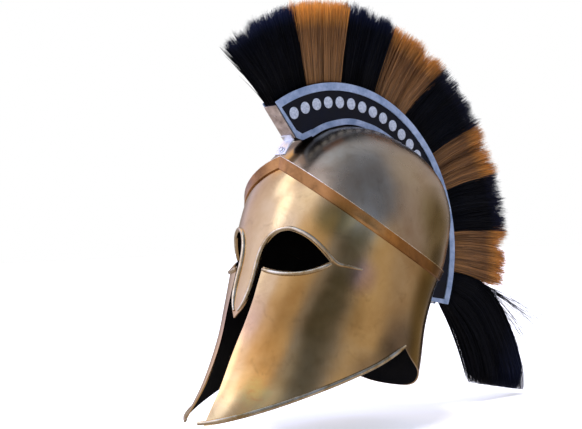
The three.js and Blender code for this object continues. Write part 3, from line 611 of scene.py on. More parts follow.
def from_front(points):
    """Places on the front of the skin seen at [x, z] from the front."""
    x, z = np.asarray(points, dtype=float).T
    u = np.interp(z, LEVEL_Z, LEVEL_U)
    ratio = np.minimum(1.0, np.abs(x) / skin_half(u))
    return u, np.where(x < 0, -1.0, 1.0) * np.arcsin(ratio ** (front_power(u) / 2))


def from_side(points):
    """Places on the wearer's left of the skin seen at [y, z] from the side."""
    y, z = np.asarray(points, dtype=float).T
    u, mid, front, reach, power = level_at(y, z)
    c = np.minimum(1.0, np.abs(y - mid) / reach) ** (power / 2)
    return u, np.arccos(np.where(front, c, -c))


# ---------------- skull and face shell

CUT = 400.0  # how far a cutter reaches
FACE_CUT_FRONT = -260.0  # the face opening is cut from here to the middle of the head
LOWER_CORNER = (19.3, 136.6)  # where the cheek's edge leaves the lower lid, at [x, z]
OPENING_FOOT = (16, -40)
HEM_FRONT = (-260, -19)  # the lower edge's cutter: where it starts, at [y, z]
HEM_REST = [(160, 2), (160, -60), (-260, -60)]
LAST_RING, CROWDING = 0.012, 1.15  # the ring nearest the crown, and how rings crowd towards it
FACES_ALIKE = 0.8  # a face this near the skin's normal, as a cosine, is its outside or inside


def extruded(outline, axis, start, end):
    """A closed prism: an outline of two coordinates, carried along the third axis."""
    outline = np.asarray(outline, dtype=float)
    count = len(outline)
    other = [k for k in range(3) if k != axis]
    points = np.zeros((2 * count, 3))
    points[:count, other] = outline
    points[count:, other] = outline
    points[:count, axis] = start
    points[count:, axis] = end
    turn = np.sum(outline[:, 0] * np.roll(outline[:, 1], -1) - np.roll(outline[:, 0], -1) * outline[:, 1])
    faces = tube_faces(2, count)
    if (turn > 0) == (axis == 1):
        faces = [face[::-1] for face in faces]
    return points, faces


def above_ridge(height):
    """Everything above the roof-shaped surface of a given height."""
    outline = [(-CUT, height - RIDGE_SIDE * CUT), (0, height), (CUT, height - RIDGE_SIDE * CUT),
               (CUT, height + CUT), (-CUT, height + CUT)]
    points, faces = extruded(outline, 1, -CUT, CUT)
    points[:, 2] -= RIDGE_REAR * points[:, 1]
    return points, faces


def face_opening():
    """The eyes and the gap between the cheeks, cut from the front."""
    half = np.vstack([
        smooth_line([(0, NOSE_TIP_Z), *NOSE_EDGE, *EYE_ARCH, EYE_CORNER], 130),
        smooth_line([EYE_CORNER, *LOWER_LID], 50)[1:],
        smooth_line([LOWER_CORNER, *CHEEK_EDGE], 60),
        [OPENING_FOOT],
    ])
    outline = np.vstack([half, half[:0:-1] * (-1, 1)])
    return extruded(outline, 1, FACE_CUT_FRONT, 0.0)


def below_hem():
    """Everything below the cheeks' and the neck guard's lower edges."""
    outline = np.vstack([
        [HEM_FRONT],
        smooth_line([*CHEEK_HEM, EAR_NOTCH], 60),
        smooth_line([EAR_NOTCH, *GUARD_HEM], 60)[1:],
        HEM_REST,
    ])
    return extruded(outline, 0, -CUT, CUT)


def sheet_wall(levels=110, sides=220):
    """The whole helmet's wall before it is cut: an outer and an inner skin joined below."""
    angles = np.linspace(0, 2 * math.pi, sides, endpoint=False)
    u = SKIN_TOP - SKIN_TOP * np.linspace(1, LAST_RING, levels) ** CROWDING
    grid_u, grid_angle = np.meshgrid(u, angles, indexing="ij")
    outer = skin_offset(grid_u, grid_angle, np.zeros(grid_u.shape)).reshape(-1, 3)
    inner = skin_offset(grid_u, grid_angle, np.full(grid_u.shape, -SHEET)).reshape(-1, 3)
    points = np.vstack([outer, inner, [[0, CROWN_Y, CROWN_TOP]], [[0, CROWN_Y, CROWN_TOP - SHEET]]])
    skin = tube_faces(levels, sides, caps=False)
    half = levels * sides
    last = (levels - 1) * sides
    faces = skin + [[i + half for i in face[::-1]] for face in skin]
    for j in range(sides):
        k = (j + 1) % sides
        faces.append([last + j, last + k, 2 * half])
        faces.append([half + last + k, half + last + j, 2 * half + 1])
        faces.append([k, j, half + j, half + k])
    return points, faces


def shell_piece(name, part, slot, replaced):
    """A cut shell with brass outside, black inside, and the true skin's normals for its shading."""
    points, faces = part
    points = np.asarray(points)
    piece = add_piece(name, points, faces, slot, replaced, [slot, "inside_black"])
    mesh = piece.data
    normals = np.zeros(len(mesh.polygons) * 3)
    mesh.polygons.foreach_get("normal", normals)
    normals = normals.reshape(-1, 3)
    u, angle = skin_place(points)
    true = skin_normal(u, angle)
    loop_vertex = np.zeros(len(mesh.loops), dtype=np.int32)
    mesh.loops.foreach_get("vertex_index", loop_vertex)
    sizes = np.zeros(len(mesh.polygons), dtype=np.int32)
    mesh.polygons.foreach_get("loop_total", sizes)
    loop_face = np.repeat(np.arange(len(sizes)), sizes)
    loop_true = true[loop_vertex]
    loop_flat = normals[loop_face]
    facing = np.sum(loop_true * loop_flat, axis=1)
    face_facing = np.zeros(len(sizes))
    np.add.at(face_facing, loop_face, facing)
    face_facing /= sizes
    side = face_facing[loop_face]
    outside, inside = (side > FACES_ALIKE)[:, None], (side < -FACES_ALIKE)[:, None]
    chosen = np.where(outside, loop_true, np.where(inside, -loop_true, loop_flat))
    mesh.polygons.foreach_set("material_index", (face_facing < -FACES_ALIKE).astype(np.int32))
    mesh.normals_split_custom_set(chosen.tolist())
    mesh.update()


seam = (RIDGE_CREST + RIDGE_FOOT) / 2
wall = sheet_wall()
skull_part = carve(*wall, [("INTERSECT", above_ridge(seam + GAP / 2))])
face_part = carve(*wall, [("DIFFERENCE", above_ridge(seam - GAP / 2)), ("DIFFERENCE", face_opening()),
                          ("DIFFERENCE", below_hem())])
shell_piece("skull_sheet", skull_part, "brass_skull", ["skull_dome"])
shell_piece("face_sheet", face_part, "brass_face", ["face_shell"])


# ---------------- brow ridge

def skin_on_roof(angle, height, lowest=20.0, highest=SKIN_TOP - 4, halvings=40):
    """Where the skin meets the roof-shaped surface of a given height, for an array of angles."""
    low = np.full(angle.shape, lowest)
    high = np.full(angle.shape, highest)
    for _ in range(halvings):
        u = (low + high) / 2
        p = skin_point(u, angle)
        under = p[:, 2] < height - RIDGE_SIDE * np.abs(p[:, 0]) - RIDGE_REAR * p[:, 1]
        low, high = np.where(under, u, low), np.where(under, high, u)
    return low


# Each point of the ridge's section: its share of the way up the face, and its height as shares
# of the lower edge's and of the crest's.
RIDGE_SECTION = [
    (0.0, -0.2, 0), (0.0, 0.55, 0), (0.015, 0.85, 0), (0.05, 1.0, 0.0), (0.3, 0.7, 0.24),
    (0.6, 0.36, 0.57), (0.86, 0.08, 0.88), (0.93, 0, 0.975), (0.975, 0, 1.0), (1.0, 0, 0.975),
    (1.01, 0, 0.9), (1.01, 0, 0.4), (1.01, 0, -0.05),
]
HIGHLIGHT_FROM, HIGHLIGHT_TO = 0.9, 1.005  # the shares between which the edge is painted pale, as a painted highlight
PROUD_FALL = 1.5  # how fast the ridge sinks from the peak to the sides


def brow_ridge(stations=480):
    """The ridge round the head, with 1 for each face of its upper edge, painted pale as a highlight, and 0
    for the rest.
    """
    angle = np.linspace(0, 2 * math.pi, stations, endpoint=False)
    foot = skin_on_roof(angle, RIDGE_FOOT)
    crest = skin_on_roof(angle, RIDGE_CREST)
    ahead = np.maximum(0, np.cos(angle)) ** PROUD_FALL
    proud = RIDGE_REAR_PROUD + (RIDGE_FRONT_PROUD - RIDGE_REAR_PROUD) * ahead
    rings = [skin_offset(foot + (crest - foot) * share, angle, RIDGE_EDGE * edge + proud * top)
             for share, edge, top in RIDGE_SECTION]
    points = np.stack(rings, axis=1).reshape(-1, 3)
    highlighted = [int(HIGHLIGHT_FROM < share < HIGHLIGHT_TO) for share, _, _ in RIDGE_SECTION]
    return points, tube_faces(stations, len(RIDGE_SECTION), loop=True), highlighted * stations


ridge_points, ridge_faces, ridge_highlight = brow_ridge()
add_piece("ridge_band", ridge_points, ridge_faces, "brass_face", ["brow_ridge"],
          ["brass_ridge", "worn_edge"], smooth=30.0, face_materials=ridge_highlight)


# ---------------- rims

def beside(points, distance):
    """A line moved sideways, to the left of its run."""
    points = np.asarray(points, dtype=float)
    run = np.gradient(points, axis=0)
    run /= np.linalg.norm(run, axis=1, keepdims=True)
    return points + np.stack([-run[:, 1], run[:, 0]], axis=1) * distance


RIM_ARC_POINTS = 9
RIM_SUNK = 0.25  # how deep a wire's sides go into the skin


def rim_strip(places, width, height, start, end, taper):
    """A half-round wire along places on the skin, drawn in at its ends to shares of its width."""
    u, angle = places
    centre = skin_point(u, angle)
    up = skin_normal(u, angle)
    run = np.gradient(centre, axis=0)
    across = np.cross(up, run)
    across /= np.linalg.norm(across, axis=1, keepdims=True)
    t = np.linspace(0, 1, len(u))
    size = np.minimum(1.0, np.minimum(start + (1 - start) * t / taper, end + (1 - end) * (1 - t) / taper))
    turns = np.linspace(0, math.pi, RIM_ARC_POINTS)
    section = [(-0.5, -RIM_SUNK / height)] + [(-0.5 * math.cos(a), math.sin(a)) for a in turns]
    section.append((0.5, -RIM_SUNK / height))
    rings = [centre + across * (side * width * size)[:, None] + up * (out * height * size)[:, None]
             for side, out in section]
    points = np.stack(rings[::-1], axis=1).reshape(-1, 3)
    return points, tube_faces(len(u), len(section))


# Each wire lies half its width outside the edge that it follows. The upper one leaves the arch
# just before the corner and runs on past it.
arch_line = beside(smooth_line([*NOSE_EDGE, *EYE_ARCH, EYE_CORNER], 150), RIM_WIDTH / 2)
upper_rim = smooth_line(np.vstack([arch_line[3:-8:3], CORNER_TAIL]), 170)
lid_line = beside(smooth_line([EYE_CORNER, *LOWER_LID], 70), RIM_WIDTH / 2)[1:]
hem_line = beside(smooth_line([*CHEEK_HEM, EAR_NOTCH], 120), HEM_RIM_WIDTH / 2)[3:]
# Piece, node, places, width, height, the share of the width that is left at the start and at the
# end, and the share of the length over which each end is drawn in.
RIMS = [
    ("upper_eye_wire", "upper_eye_rim", from_front(upper_rim), RIM_WIDTH, RIM_HEIGHT, 0.5, 0.5, 0.1),
    ("lower_eye_wire", "lower_eye_rim", from_front(lid_line), RIM_WIDTH, RIM_HEIGHT, 0.6, 0.6, 0.06),
    ("cheek_wire", "cheek_rim", from_side(hem_line), HEM_RIM_WIDTH, HEM_RIM_HEIGHT, 0.7, 0.5, 0.05),
]
for name, node, *shape in RIMS:
    part = rim_strip(*shape)
    add_piece(f"{name}_left", *part, "rim_metal", [f"{node}_left"], smooth=50.0)
    add_piece(f"{name}_right", *mirrored(part), "rim_metal", [f"{node}_right"], smooth=50.0)


# ---------------- crest box

SKULL_FROM = 24.0  # the lowest level of the skull's outline under the crest
SKULL_LEVELS = np.linspace(SKULL_FROM, SKIN_TOP - 1, 90)
NOTCH_STEP = 0.01
SEAT_GAP, SEAT_LAP = 0.1, 0.15  # from the skull to the dark strip, and how far it enters the box
SEAT_MARGINS, PANEL_MARGINS, TRIM_MARGINS = (3.0, 2.0), (1.0, 1.2), (0.0, 0.0)
LAP = 0.2  # how far a panel and its frame grow towards each other
# Half widths of cutters. A cutter's own cutter is wider or narrower, so that no faces coincide.
WIDE, NARROWER, NARROWEST = 50.0, 40.0, 30.0
WINDOW_PAST = 1.0  # how far the window's cutter passes each face of the frame

PANEL_IN = CORE_HALF + GAP
PANEL_OUT = PANEL_IN + PANEL
FRAME_IN = PANEL_OUT + GAP
FRAME_OUT = FRAME_IN + FRAME


def crest_point(degrees, distance):
    """[y, z] at an angle and a distance from the centre of the crest's arcs."""
    a = np.radians(degrees)
    y = CREST_Y + distance * np.cos(a)
    z = CREST_Z + distance * np.sin(a)
    return np.stack(np.broadcast_arrays(y, z), axis=-1)


def angle_of(point):
    return math.degrees(math.atan2(point[1] - CREST_Z, point[0] - CREST_Y))


def crest_outline(outer_margin, end_margin, chin_margin=0.0):
    """The crest box seen from the side, drawn in at the outer arc, both ends and under the chin."""
    top, foot = np.array(CREST_FRONT, float)
    down = (foot - top) / np.linalg.norm(foot - top)
    inward = np.array([-down[1], down[0]]) * end_margin
    raised = np.array([0.0, end_margin])
    rear_out, rear_in = np.array(CREST_REAR) + raised
    arc = crest_point(np.linspace(angle_of(top + inward), angle_of(rear_out), 150),
                      CREST_OUTER - outer_margin)
    chin_front, chin_rear = np.array(CREST_CHIN, float) + (0, chin_margin)
    return np.vstack([arc, rear_in, np.array(CREST_UNDER_REAR) + raised, [CREST_Y, CREST_Z],
                      chin_rear, chin_front, foot + inward - down * chin_margin])


def skull_outline(offset, notched=True):
    """The skull's outline in the middle plane, grown, with a step where the ridge passes behind."""
    rear, lift = SKULL_LEVELS, 0.0
    if notched:
        notch = np.interp([NOTCH_FROM, NOTCH_TO], LEVEL_Z, LEVEL_U)
        rear = np.sort(np.concatenate([SKULL_LEVELS, notch, notch + NOTCH_STEP]))
        lift = np.where((rear > notch[0]) & (rear <= notch[1]), NOTCH_DEPTH, 0.0)
    back = skin_offset(rear, math.pi, offset + lift)
    front = skin_offset(SKULL_LEVELS[::-1], 0.0, offset)
    return np.vstack([back[:, 1:], front[:, 1:]])


def slab(outline, start, end):
    """An outline seen from the side, as a body from one x to another."""
    return extruded(outline, 0, start, end)


def through(outline, half):
    return slab(outline, -half, half)


def crest_shade_strip():
    """A black strip between the skull and the crest box, which closes the gap under it: painted shade under
    the crest.
    """
    felt = through(skull_outline(STAND_OFF + SEAT_LAP), SEAT_HALF)
    return carve(*felt, [("DIFFERENCE", through(skull_outline(SEAT_GAP, notched=False), WIDE)),
                         ("INTERSECT", through(crest_outline(*SEAT_MARGINS), NARROWER)),
                         ("DIFFERENCE", (ridge_points, ridge_faces))])


def side_panel():
    panel = slab(crest_outline(*PANEL_MARGINS), PANEL_IN, PANEL_OUT + LAP)
    return carve(*panel, [("DIFFERENCE", through(skull_outline(STAND_OFF), WIDE))])


def side_frame():
    """The border of a side panel: the panel's outline less the skull and less its window."""
    inside_dots = crest_point(np.linspace(0, 350, 180), DOT_ARC - DOT_RADIUS - DOT_MARGIN)
    under_frame = carve(*through(skull_outline(STAND_OFF + FOOT_FRAME), NARROWEST),
                        [("INTERSECT", through(inside_dots, NARROWER))])
    window = slab(crest_outline(FRAME_WIDTH, FRONT_FRAME, FOOT_FRAME),
                  FRAME_IN - WINDOW_PAST, FRAME_OUT + WINDOW_PAST)
    window = carve(*window, [("DIFFERENCE", under_frame)])
    border = slab(crest_outline(*TRIM_MARGINS), FRAME_IN - LAP, FRAME_OUT)
    return carve(*border, [("DIFFERENCE", through(skull_outline(STAND_OFF), WIDE)),
                           ("DIFFERENCE", window)])


# A dot's dome: shares of its radius, and heights above the panel.
DOT_PROFILE = [(1.0, -0.3), (1.0, 0.45), (0.93, 0.75), (0.8, 0.86), (0.5, 0.9), (0.0001, 0.92)]
DOT_SIDES = 40
DOT_WOBBLE = 0.02  # how uneven the dots' widths are


def dots():
    """The row of shallow domed discs along the panel."""
    turns = np.linspace(0, 2 * math.pi, DOT_SIDES, endpoint=False)
    parts = []
    for i in range(DOT_COUNT):
        y, z = crest_point(DOT_FROM - DOT_STEP * i, DOT_ARC)
        wobble = 1 + DOT_WOBBLE * random.standard_normal()
        rings = []
        for share, out in DOT_PROFILE:
            ring_y = y + share * DOT_RADIUS * wobble * np.cos(turns)
            ring_z = z + share * DOT_RADIUS * np.sin(turns)
            rings.append(np.stack([np.full(DOT_SIDES, PANEL_OUT + out), ring_y, ring_z], axis=1))
        parts.append((np.vstack(rings), tube_faces(len(DOT_PROFILE), DOT_SIDES)))
    return joined(parts)


add_piece("crest_shade_strip", *crest_shade_strip(), "black_leather")

panel_part = side_panel()
dot_part = dots()
frame_part = side_frame()
for side, turn in (("left", lambda part: part), ("right", mirrored)):
    points, faces = joined([turn(panel_part), turn(dot_part)])
    shares = [0] * len(panel_part[1]) + [1] * len(dot_part[1])
    add_piece(f"side_panel_{side}", points, faces, "black_leather", [f"crest_panel_{side}"],
              ["black_leather", "silver_dot"], face_materials=shares)
    trim = add_piece(f"trim_strip_{side}", *turn(frame_part), "silver_trim", [f"crest_frame_{side}"])
    bevel(trim, SOFT_EDGE)

front_top, front_foot = (np.array(p, float) for p in CREST_FRONT)
END_LENGTH = float(np.linalg.norm(front_top - front_foot))
END_UP = (front_top - front_foot) / END_LENGTH
END_OUT = np.array([-END_UP[1], END_UP[0]])


def on_front_end(points):
    """Points given as x, up the crest's front end, and out from it."""
    x, up, out = np.asarray(points, dtype=float).T
    place = front_foot + up[:, None] * END_UP + out[:, None] * END_OUT
    return np.column_stack([x, place])


plate_points, plate_faces = box_part((-PANEL_OUT, PLATE_FOOT, GAP),
                                     (PANEL_OUT, END_LENGTH - PLATE_HEAD, GAP + END_PLATE))
plate = add_piece("front_end_plate", on_front_end(plate_points), plate_faces, "plate_metal",
                  ["crest_front_plate"])
bevel(plate, PLATE_EDGE)

# Turned heads: radii and heights of the pin, shares of the radius and heights of the washer, and
# shares of the radius and of the height of the screw's head. The last two close at POINT.
POINT = 0.01
PIN_PROFILE = [(1.1, -0.2), (1.1, 0.35), (0.9, 0.65), (0.5, 0.78), (POINT, 0.8)]
PIN_UP = 0.66  # share of the way up the front end
PIN_SIDES, SCREW_SIDES = 20, 32
WASHER_PROFILE = [(1.25, -0.3), (1.25, 0.25), (1.1, 0.42), (0.9, 0.3)]
HEAD_PROFILE = [(0.85, 0.0), (0.86, 0.5), (0.7, 0.85), (0.4, 1.0), (0.36, 0.7)]
RECESS_HEIGHT = 0.65


def round_head(profile, sides):
    """A turned head: (radius, height) pairs round its own axis, as x, y and height."""
    turns = np.linspace(0, 2 * math.pi, sides, endpoint=False)
    rings = [np.stack([r * np.cos(turns), r * np.sin(turns), np.full(sides, h)], axis=1)
             for r, h in profile]
    return np.vstack(rings), tube_faces(len(profile), sides)


pin_points, pin_faces = round_head(PIN_PROFILE, PIN_SIDES)
pin_points = on_front_end(pin_points + (0, PIN_UP * END_LENGTH, 2 * GAP + END_PLATE))
add_piece("plate_pin", pin_points, pin_faces, "plate_metal", ["front_plate_pin"])


def bent_strip(points, thick, half_width):
    """A strip of metal bent along [y, z] points, with its thickness to the left of its run."""
    line = np.asarray(points, dtype=float)
    return through(np.vstack([line, beside(line, thick)[::-1]]), half_width)


def screw(y, z, degrees, radius, height):
    """A pan head with a round recess, in a washer, on a face that looks along a direction."""
    washer = [(share * radius, out) for share, out in WASHER_PROFILE]
    head = [(share * radius, rise * height) for share, rise in HEAD_PROFILE]
    head.append((POINT, RECESS_HEIGHT * height))
    points, faces = joined([round_head(washer, SCREW_SIDES), round_head(head, SCREW_SIDES)])
    turn = np.radians(degrees - 90)
    x, up, out = np.asarray(points).T
    place_y = y + up * np.cos(turn) - out * np.sin(turn)
    place_z = z + up * np.sin(turn) + out * np.cos(turn)
    return np.column_stack([x, place_y, place_z]), faces


for name, node, thick, half_width, points, screw_name, screw_node, *head in BRACKETS:
    strip = add_piece(name, *bent_strip(points, thick, half_width), "bracket_steel", [node])
    bevel(strip, SOFT_EDGE)
    add_piece(screw_name, *screw(*head), "bracket_steel", [screw_node])

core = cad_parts["crest_core"]
core.data.materials.clear()
core.data.materials.append(MATERIALS["black_leather"])


# ---------------- plume

def strands(lines, radii):
    """Three-sided tapering hairs. lines is strands by stations by 3, radii strands by stations."""
    count, stations, _ = lines.shape
    run = np.gradient(lines, axis=1)
    run /= np.linalg.norm(run, axis=2, keepdims=True)
    side = np.cross(run, (1.0, 0.0, 0.0))
    side /= np.maximum(np.linalg.norm(side, axis=2, keepdims=True), 1e-6)
    other = np.cross(run, side)
    turn = random.uniform(0, 2 * math.pi, (count, 1, 1))
    corners = []
    for k in range(3):
        a = turn + 2 * math.pi * k / 3
        corners.append(lines + (side * np.cos(a) + other * np.sin(a)) * radii[..., None])
    points = np.stack(corners, axis=2).reshape(-1, 3)
    start = np.arange(count)[:, None] * stations * 3
    faces = []
    for i in range(stations - 1):
        for j in range(3):
            k = (j + 1) % 3
            quad = np.array([3 * i + j, 3 * i + k, 3 * i + 3 + k, 3 * i + 3 + j])
            faces.append(start + quad)
    quads = np.concatenate(faces)
    last = 3 * (stations - 1)
    ends = np.concatenate([start + np.array([2, 1, 0]), start + np.array([last, last + 1, last + 2])])
    return points, quads.tolist() + ends.tolist()


THICKNESSES = (0.75, 1.3)  # a hair's thickness lies between these shares of the usual

# The dyed stretches. A hair's place runs from 0 to 1 along its stretch and from -1 to 1 sideways.
STRANDS = 4000
TUFTS = 170
STATION_SHARES = np.array([0.0, 0.34, 0.7, 1.0])
STATION_RADII = np.array([0.34, 0.36, 0.27, 0.05])
TUFT_REACH, TUFT_LEAN = 2.0, 0.55  # how unlike tufts are: in mm, and in degrees
LEAN_ACROSS = 0.8  # the same sideways, in mm for each degree
STRAY_T, STRAY_X = 0.05, 0.12  # from a tuft's middle to a hair's root
ROOT_SCATTER = 0.006
GATHERED = 0.3  # how far a tuft's tips draw together
TIP_SCATTER_T, TIP_SCATTER_X = 0.012, 0.06
REACH_SCATTER = 1.6
SHORT_HAIRS, SHORT_BY = 0.12, 26  # the share of hairs that are shorter, and by how much at most
ROOT_LIFT = 0.5
FAN_CURVE = 1.3  # hairs turn to their tip's angle mostly far out
WIDEST_AT, WIDENING = 0.9, 0.8  # and widen from the root's width mostly near it


def tufted(count, stray_t, stray_x, *tuft_sizes):
    """Hairs in tufts: each one's tuft, its tuft's place, its own place, and more drawn by tuft."""
    tuft_t = random.uniform(0, 1, TUFTS)
    tuft_x = random.uniform(-1, 1, TUFTS)
    drawn = [random.normal(0, spread, shape) for spread, shape in tuft_sizes]
    member = random.integers(0, TUFTS, count)
    middle_t, middle_x = tuft_t[member], tuft_x[member]
    t = middle_t + random.normal(0, stray_t, count)
    x = np.clip(middle_x + random.normal(0, stray_x, count), -1, 1)
    return member, middle_t, middle_x, t, x, *(values[member] for values in drawn)


def stretch(number):
    """One dyed stretch of the brush: hairs in small tufts that fan out from the crest."""
    (root_a, tip_a, reach_a), (root_b, tip_b, reach_b) = BORDERS[number], BORDERS[number + 1]
    _, middle_t, middle_x, t, x, longer, lean = tufted(
        STRANDS, STRAY_T, STRAY_X, (TUFT_REACH, TUFTS), (TUFT_LEAN, (TUFTS, 2)))
    t = np.clip(t, 0.0, 1.0) + random.normal(0, ROOT_SCATTER, STRANDS)
    t_tip = t + (middle_t - t) * GATHERED + random.normal(0, TIP_SCATTER_T, STRANDS)
    x_tip = x + (middle_x - x) * GATHERED + random.normal(0, TIP_SCATTER_X, STRANDS)
    reach = reach_a + (reach_b - reach_a) * t - RAGGED / 2 + longer
    reach = reach + random.normal(0, REACH_SCATTER, STRANDS)
    short = random.uniform(0, 1, STRANDS) < SHORT_HAIRS
    reach = np.where(short, reach - random.uniform(0, SHORT_BY, STRANDS), reach)
    share = STATION_SHARES[None, :]
    root_angle = (root_a + (root_b - root_a) * t)[:, None]
    tip_angle = (tip_a + (tip_b - tip_a) * t_tip)[:, None] + lean[:, 0:1]
    angle = root_angle + (tip_angle - root_angle) * share ** FAN_CURVE
    distance = PLUME_ROOT + ROOT_LIFT + (reach[:, None] - PLUME_ROOT) * share
    half = ROOT_HALF + (TIP_HALF - ROOT_HALF) * np.minimum(1, share / WIDEST_AT) ** WIDENING
    across = (x[:, None] + (x_tip - x)[:, None] * share) * half
    across = across + lean[:, 1:2] * share * LEAN_ACROSS
    lines = np.concatenate([across[..., None], crest_point(angle, distance)], axis=2)
    radii = STATION_RADII[None, :] * random.uniform(*THICKNESSES, (STRANDS, 1))
    return strands(lines, radii)


for number in range(len(BORDERS) - 1):
    colour = "black" if number % 2 == 0 else "orange"
    add_piece(f"hair_{number + 1}_{colour}", *stretch(number), f"{colour}_hair",
              [f"plume_{number + 1}_{colour}"], smooth=180.0)

# The tail, with places and shares as above, from its outer edge to its inner one.
TAIL_STRANDS, TAIL_STATIONS = 3500, 8
TAIL_STRAY_T, TAIL_STRAY_X = 0.07, 0.15
TAIL_MARGIN = 0.01  # from the tail's edges to its outermost hairs
TAIL_GATHERED, TAIL_GATHERING = 0.3, 1.5
TAIL_WAVE = 0.02
TAIL_WIDENING, TAIL_NARROWS_FROM, TAIL_NARROWING = 2, 0.8, 3.0
TAIL_LENGTH = 180
TAIL_TUFT_END, TAIL_END_SCATTER, TAIL_TRIM = 2.5, 1.6, 2  # its hairs' ends, in mm
TAIL_RADII = [(0, 0.36), (0.6, 0.38), (0.92, 0.3), (1, 0.06)]


def tail():
    """The last stretch, hanging down behind in a curve."""
    outer = smooth_line(TAIL_OUTER, TAIL_STATIONS)
    inner = smooth_line(TAIL_INNER, TAIL_STATIONS)
    member, middle_t, middle_x, t, x, longer = tufted(
        TAIL_STRANDS, TAIL_STRAY_T, TAIL_STRAY_X, (TAIL_TUFT_END, TUFTS))
    t = np.clip(t, TAIL_MARGIN, 1 - TAIL_MARGIN)
    share = np.linspace(0, 1, TAIL_STATIONS + 1)
    gathered = TAIL_GATHERED * share[None, :] ** TAIL_GATHERING
    t = t[:, None] + (middle_t - t)[:, None] * gathered
    x = x[:, None] + (middle_x - x)[:, None] * gathered
    wave = random.normal(0, TAIL_WAVE, (TUFTS, 1))[member] * np.sin(share * math.pi)[None, :]
    flat = outer[None] + (inner - outer)[None] * (t + wave)[..., None]
    half = ROOT_HALF + (TIP_HALF - ROOT_HALF) * np.minimum(1, share * TAIL_WIDENING)
    half = half - TAIL_NARROWING * np.maximum(0, share - TAIL_NARROWS_FROM)
    lines = np.concatenate([(x * half[None, :])[..., None], flat], axis=2)
    longer = longer + random.normal(0, TAIL_END_SCATTER, TAIL_STRANDS) - TAIL_TRIM
    cut = 1 + longer[:, None] / TAIL_LENGTH
    grown = share[None, :] * cut
    bent = np.empty_like(lines)
    for i in range(TAIL_STRANDS):
        for k in range(3):
            bent[i, :, k] = np.interp(grown[i], share, lines[i, :, k])
    radii = np.interp(share, *zip(*TAIL_RADII))[None, :]
    return strands(bent, radii * random.uniform(*THICKNESSES, (TAIL_STRANDS, 1)))


# Each bunch of loose hairs: how many, how much they sway, how thick they are, and their route.
WISPS = [
    (9, 0.55, 1.1, [(6, 196, 112), (11, 223, 101), (20, 254, 80), (30, 281, 60)]),
    (5, 1.0, 0.75, [(6, 200, 111), (14, 228, 96), (30, 256, 72), (45, 277, 50)]),
    (5, 1.0, 0.75, [(8, 205, 110), (22, 240, 92), (42, 275, 72), (55, 298, 58)]),
    (5, 1.0, 0.75, [(8, 205, 108), (24, 244, 88), (46, 282, 58), (60, 306, 37)]),
    (4, 1.0, 0.75, [(7, 202, 110), (20, 238, 90), (44, 280, 52), (62, 314, 26)]),
    (9, 1.0, 0.75, [(5, 212, 107), (10, 240, 88), (17, 264, 62), (26, 284, 34)]),
    (9, 1.0, 0.75, [(4, 222, 100), (8, 249, 78), (13, 270, 50), (19, 288, 22)]),
    (8, 1.0, 0.75, [(3, 236, 91), (6, 259, 64), (9, 276, 36), (13, 292, 6)]),
    (8, 1.0, 0.75, [(2, 255, 67), (4, 273, 38), (6, 286, 12), (8, 298, -12)]),
]
WISP_STATIONS = 9
WISP_RADII = [(0, 0.3), (0.7, 0.24), (1, 0.05)]
WISP_SWAY, WISP_SWAY_GROWS = (2.0, 4.0, 4.0), 1.4
WISP_CURL, WISP_CURL_TURNS = 1.2, 1.6
WISP_REACH_X, WISP_REACH_Y = 78, 317  # no hair goes past these


def wisps():
    """Loose long hairs that stand away from the tail."""
    along = np.linspace(0, 1, WISP_STATIONS + 1)
    grow = along ** WISP_SWAY_GROWS
    taper = np.interp(along, *zip(*WISP_RADII))[None, :]
    parts = []
    for hairs, looseness, thickness, route in WISPS:
        base = smooth_line(route, WISP_STATIONS)
        sway = random.normal(0, 1, (hairs, 1, 3)) * WISP_SWAY * grow[None, :, None]
        curl = random.normal(0, WISP_CURL, (hairs, 1, 3))
        curl = curl * np.sin(grow * math.pi * WISP_CURL_TURNS)[None, :, None]
        lines = base[None] + sway * looseness + curl
        lines[..., 0] = np.clip(lines[..., 0], 0, WISP_REACH_X)
        lines[..., 1] = np.minimum(lines[..., 1], WISP_REACH_Y)
        parts.append(strands(lines, taper * np.ones((hairs, 1)) * thickness))
    return joined(parts)


points, faces = joined([tail(), wisps()])
add_piece("hair_9_tail", points, faces, "black_hair", ["plume_9_tail"], ["tail_hair"], smooth=180.0)


# ---------------- studio

FLOOR_HALF, FLOOR_BELOW = 6.0, 30.0  # half its side in metres, and how far under level 0 in mm
FLOOR_COLOURS = [(0.3, (0.86, 0.86, 0.87)), (0.7, (0.9, 0.9, 0.9))]
FLOOR_GLOW = 0.5
SUN_STRENGTH, SUN_WIDTH, SUN_COLOUR = 2.4, 14, (1.0, 0.93, 0.82)
SUN_RUN = Vector((-0.12, 0.2, -1.0))


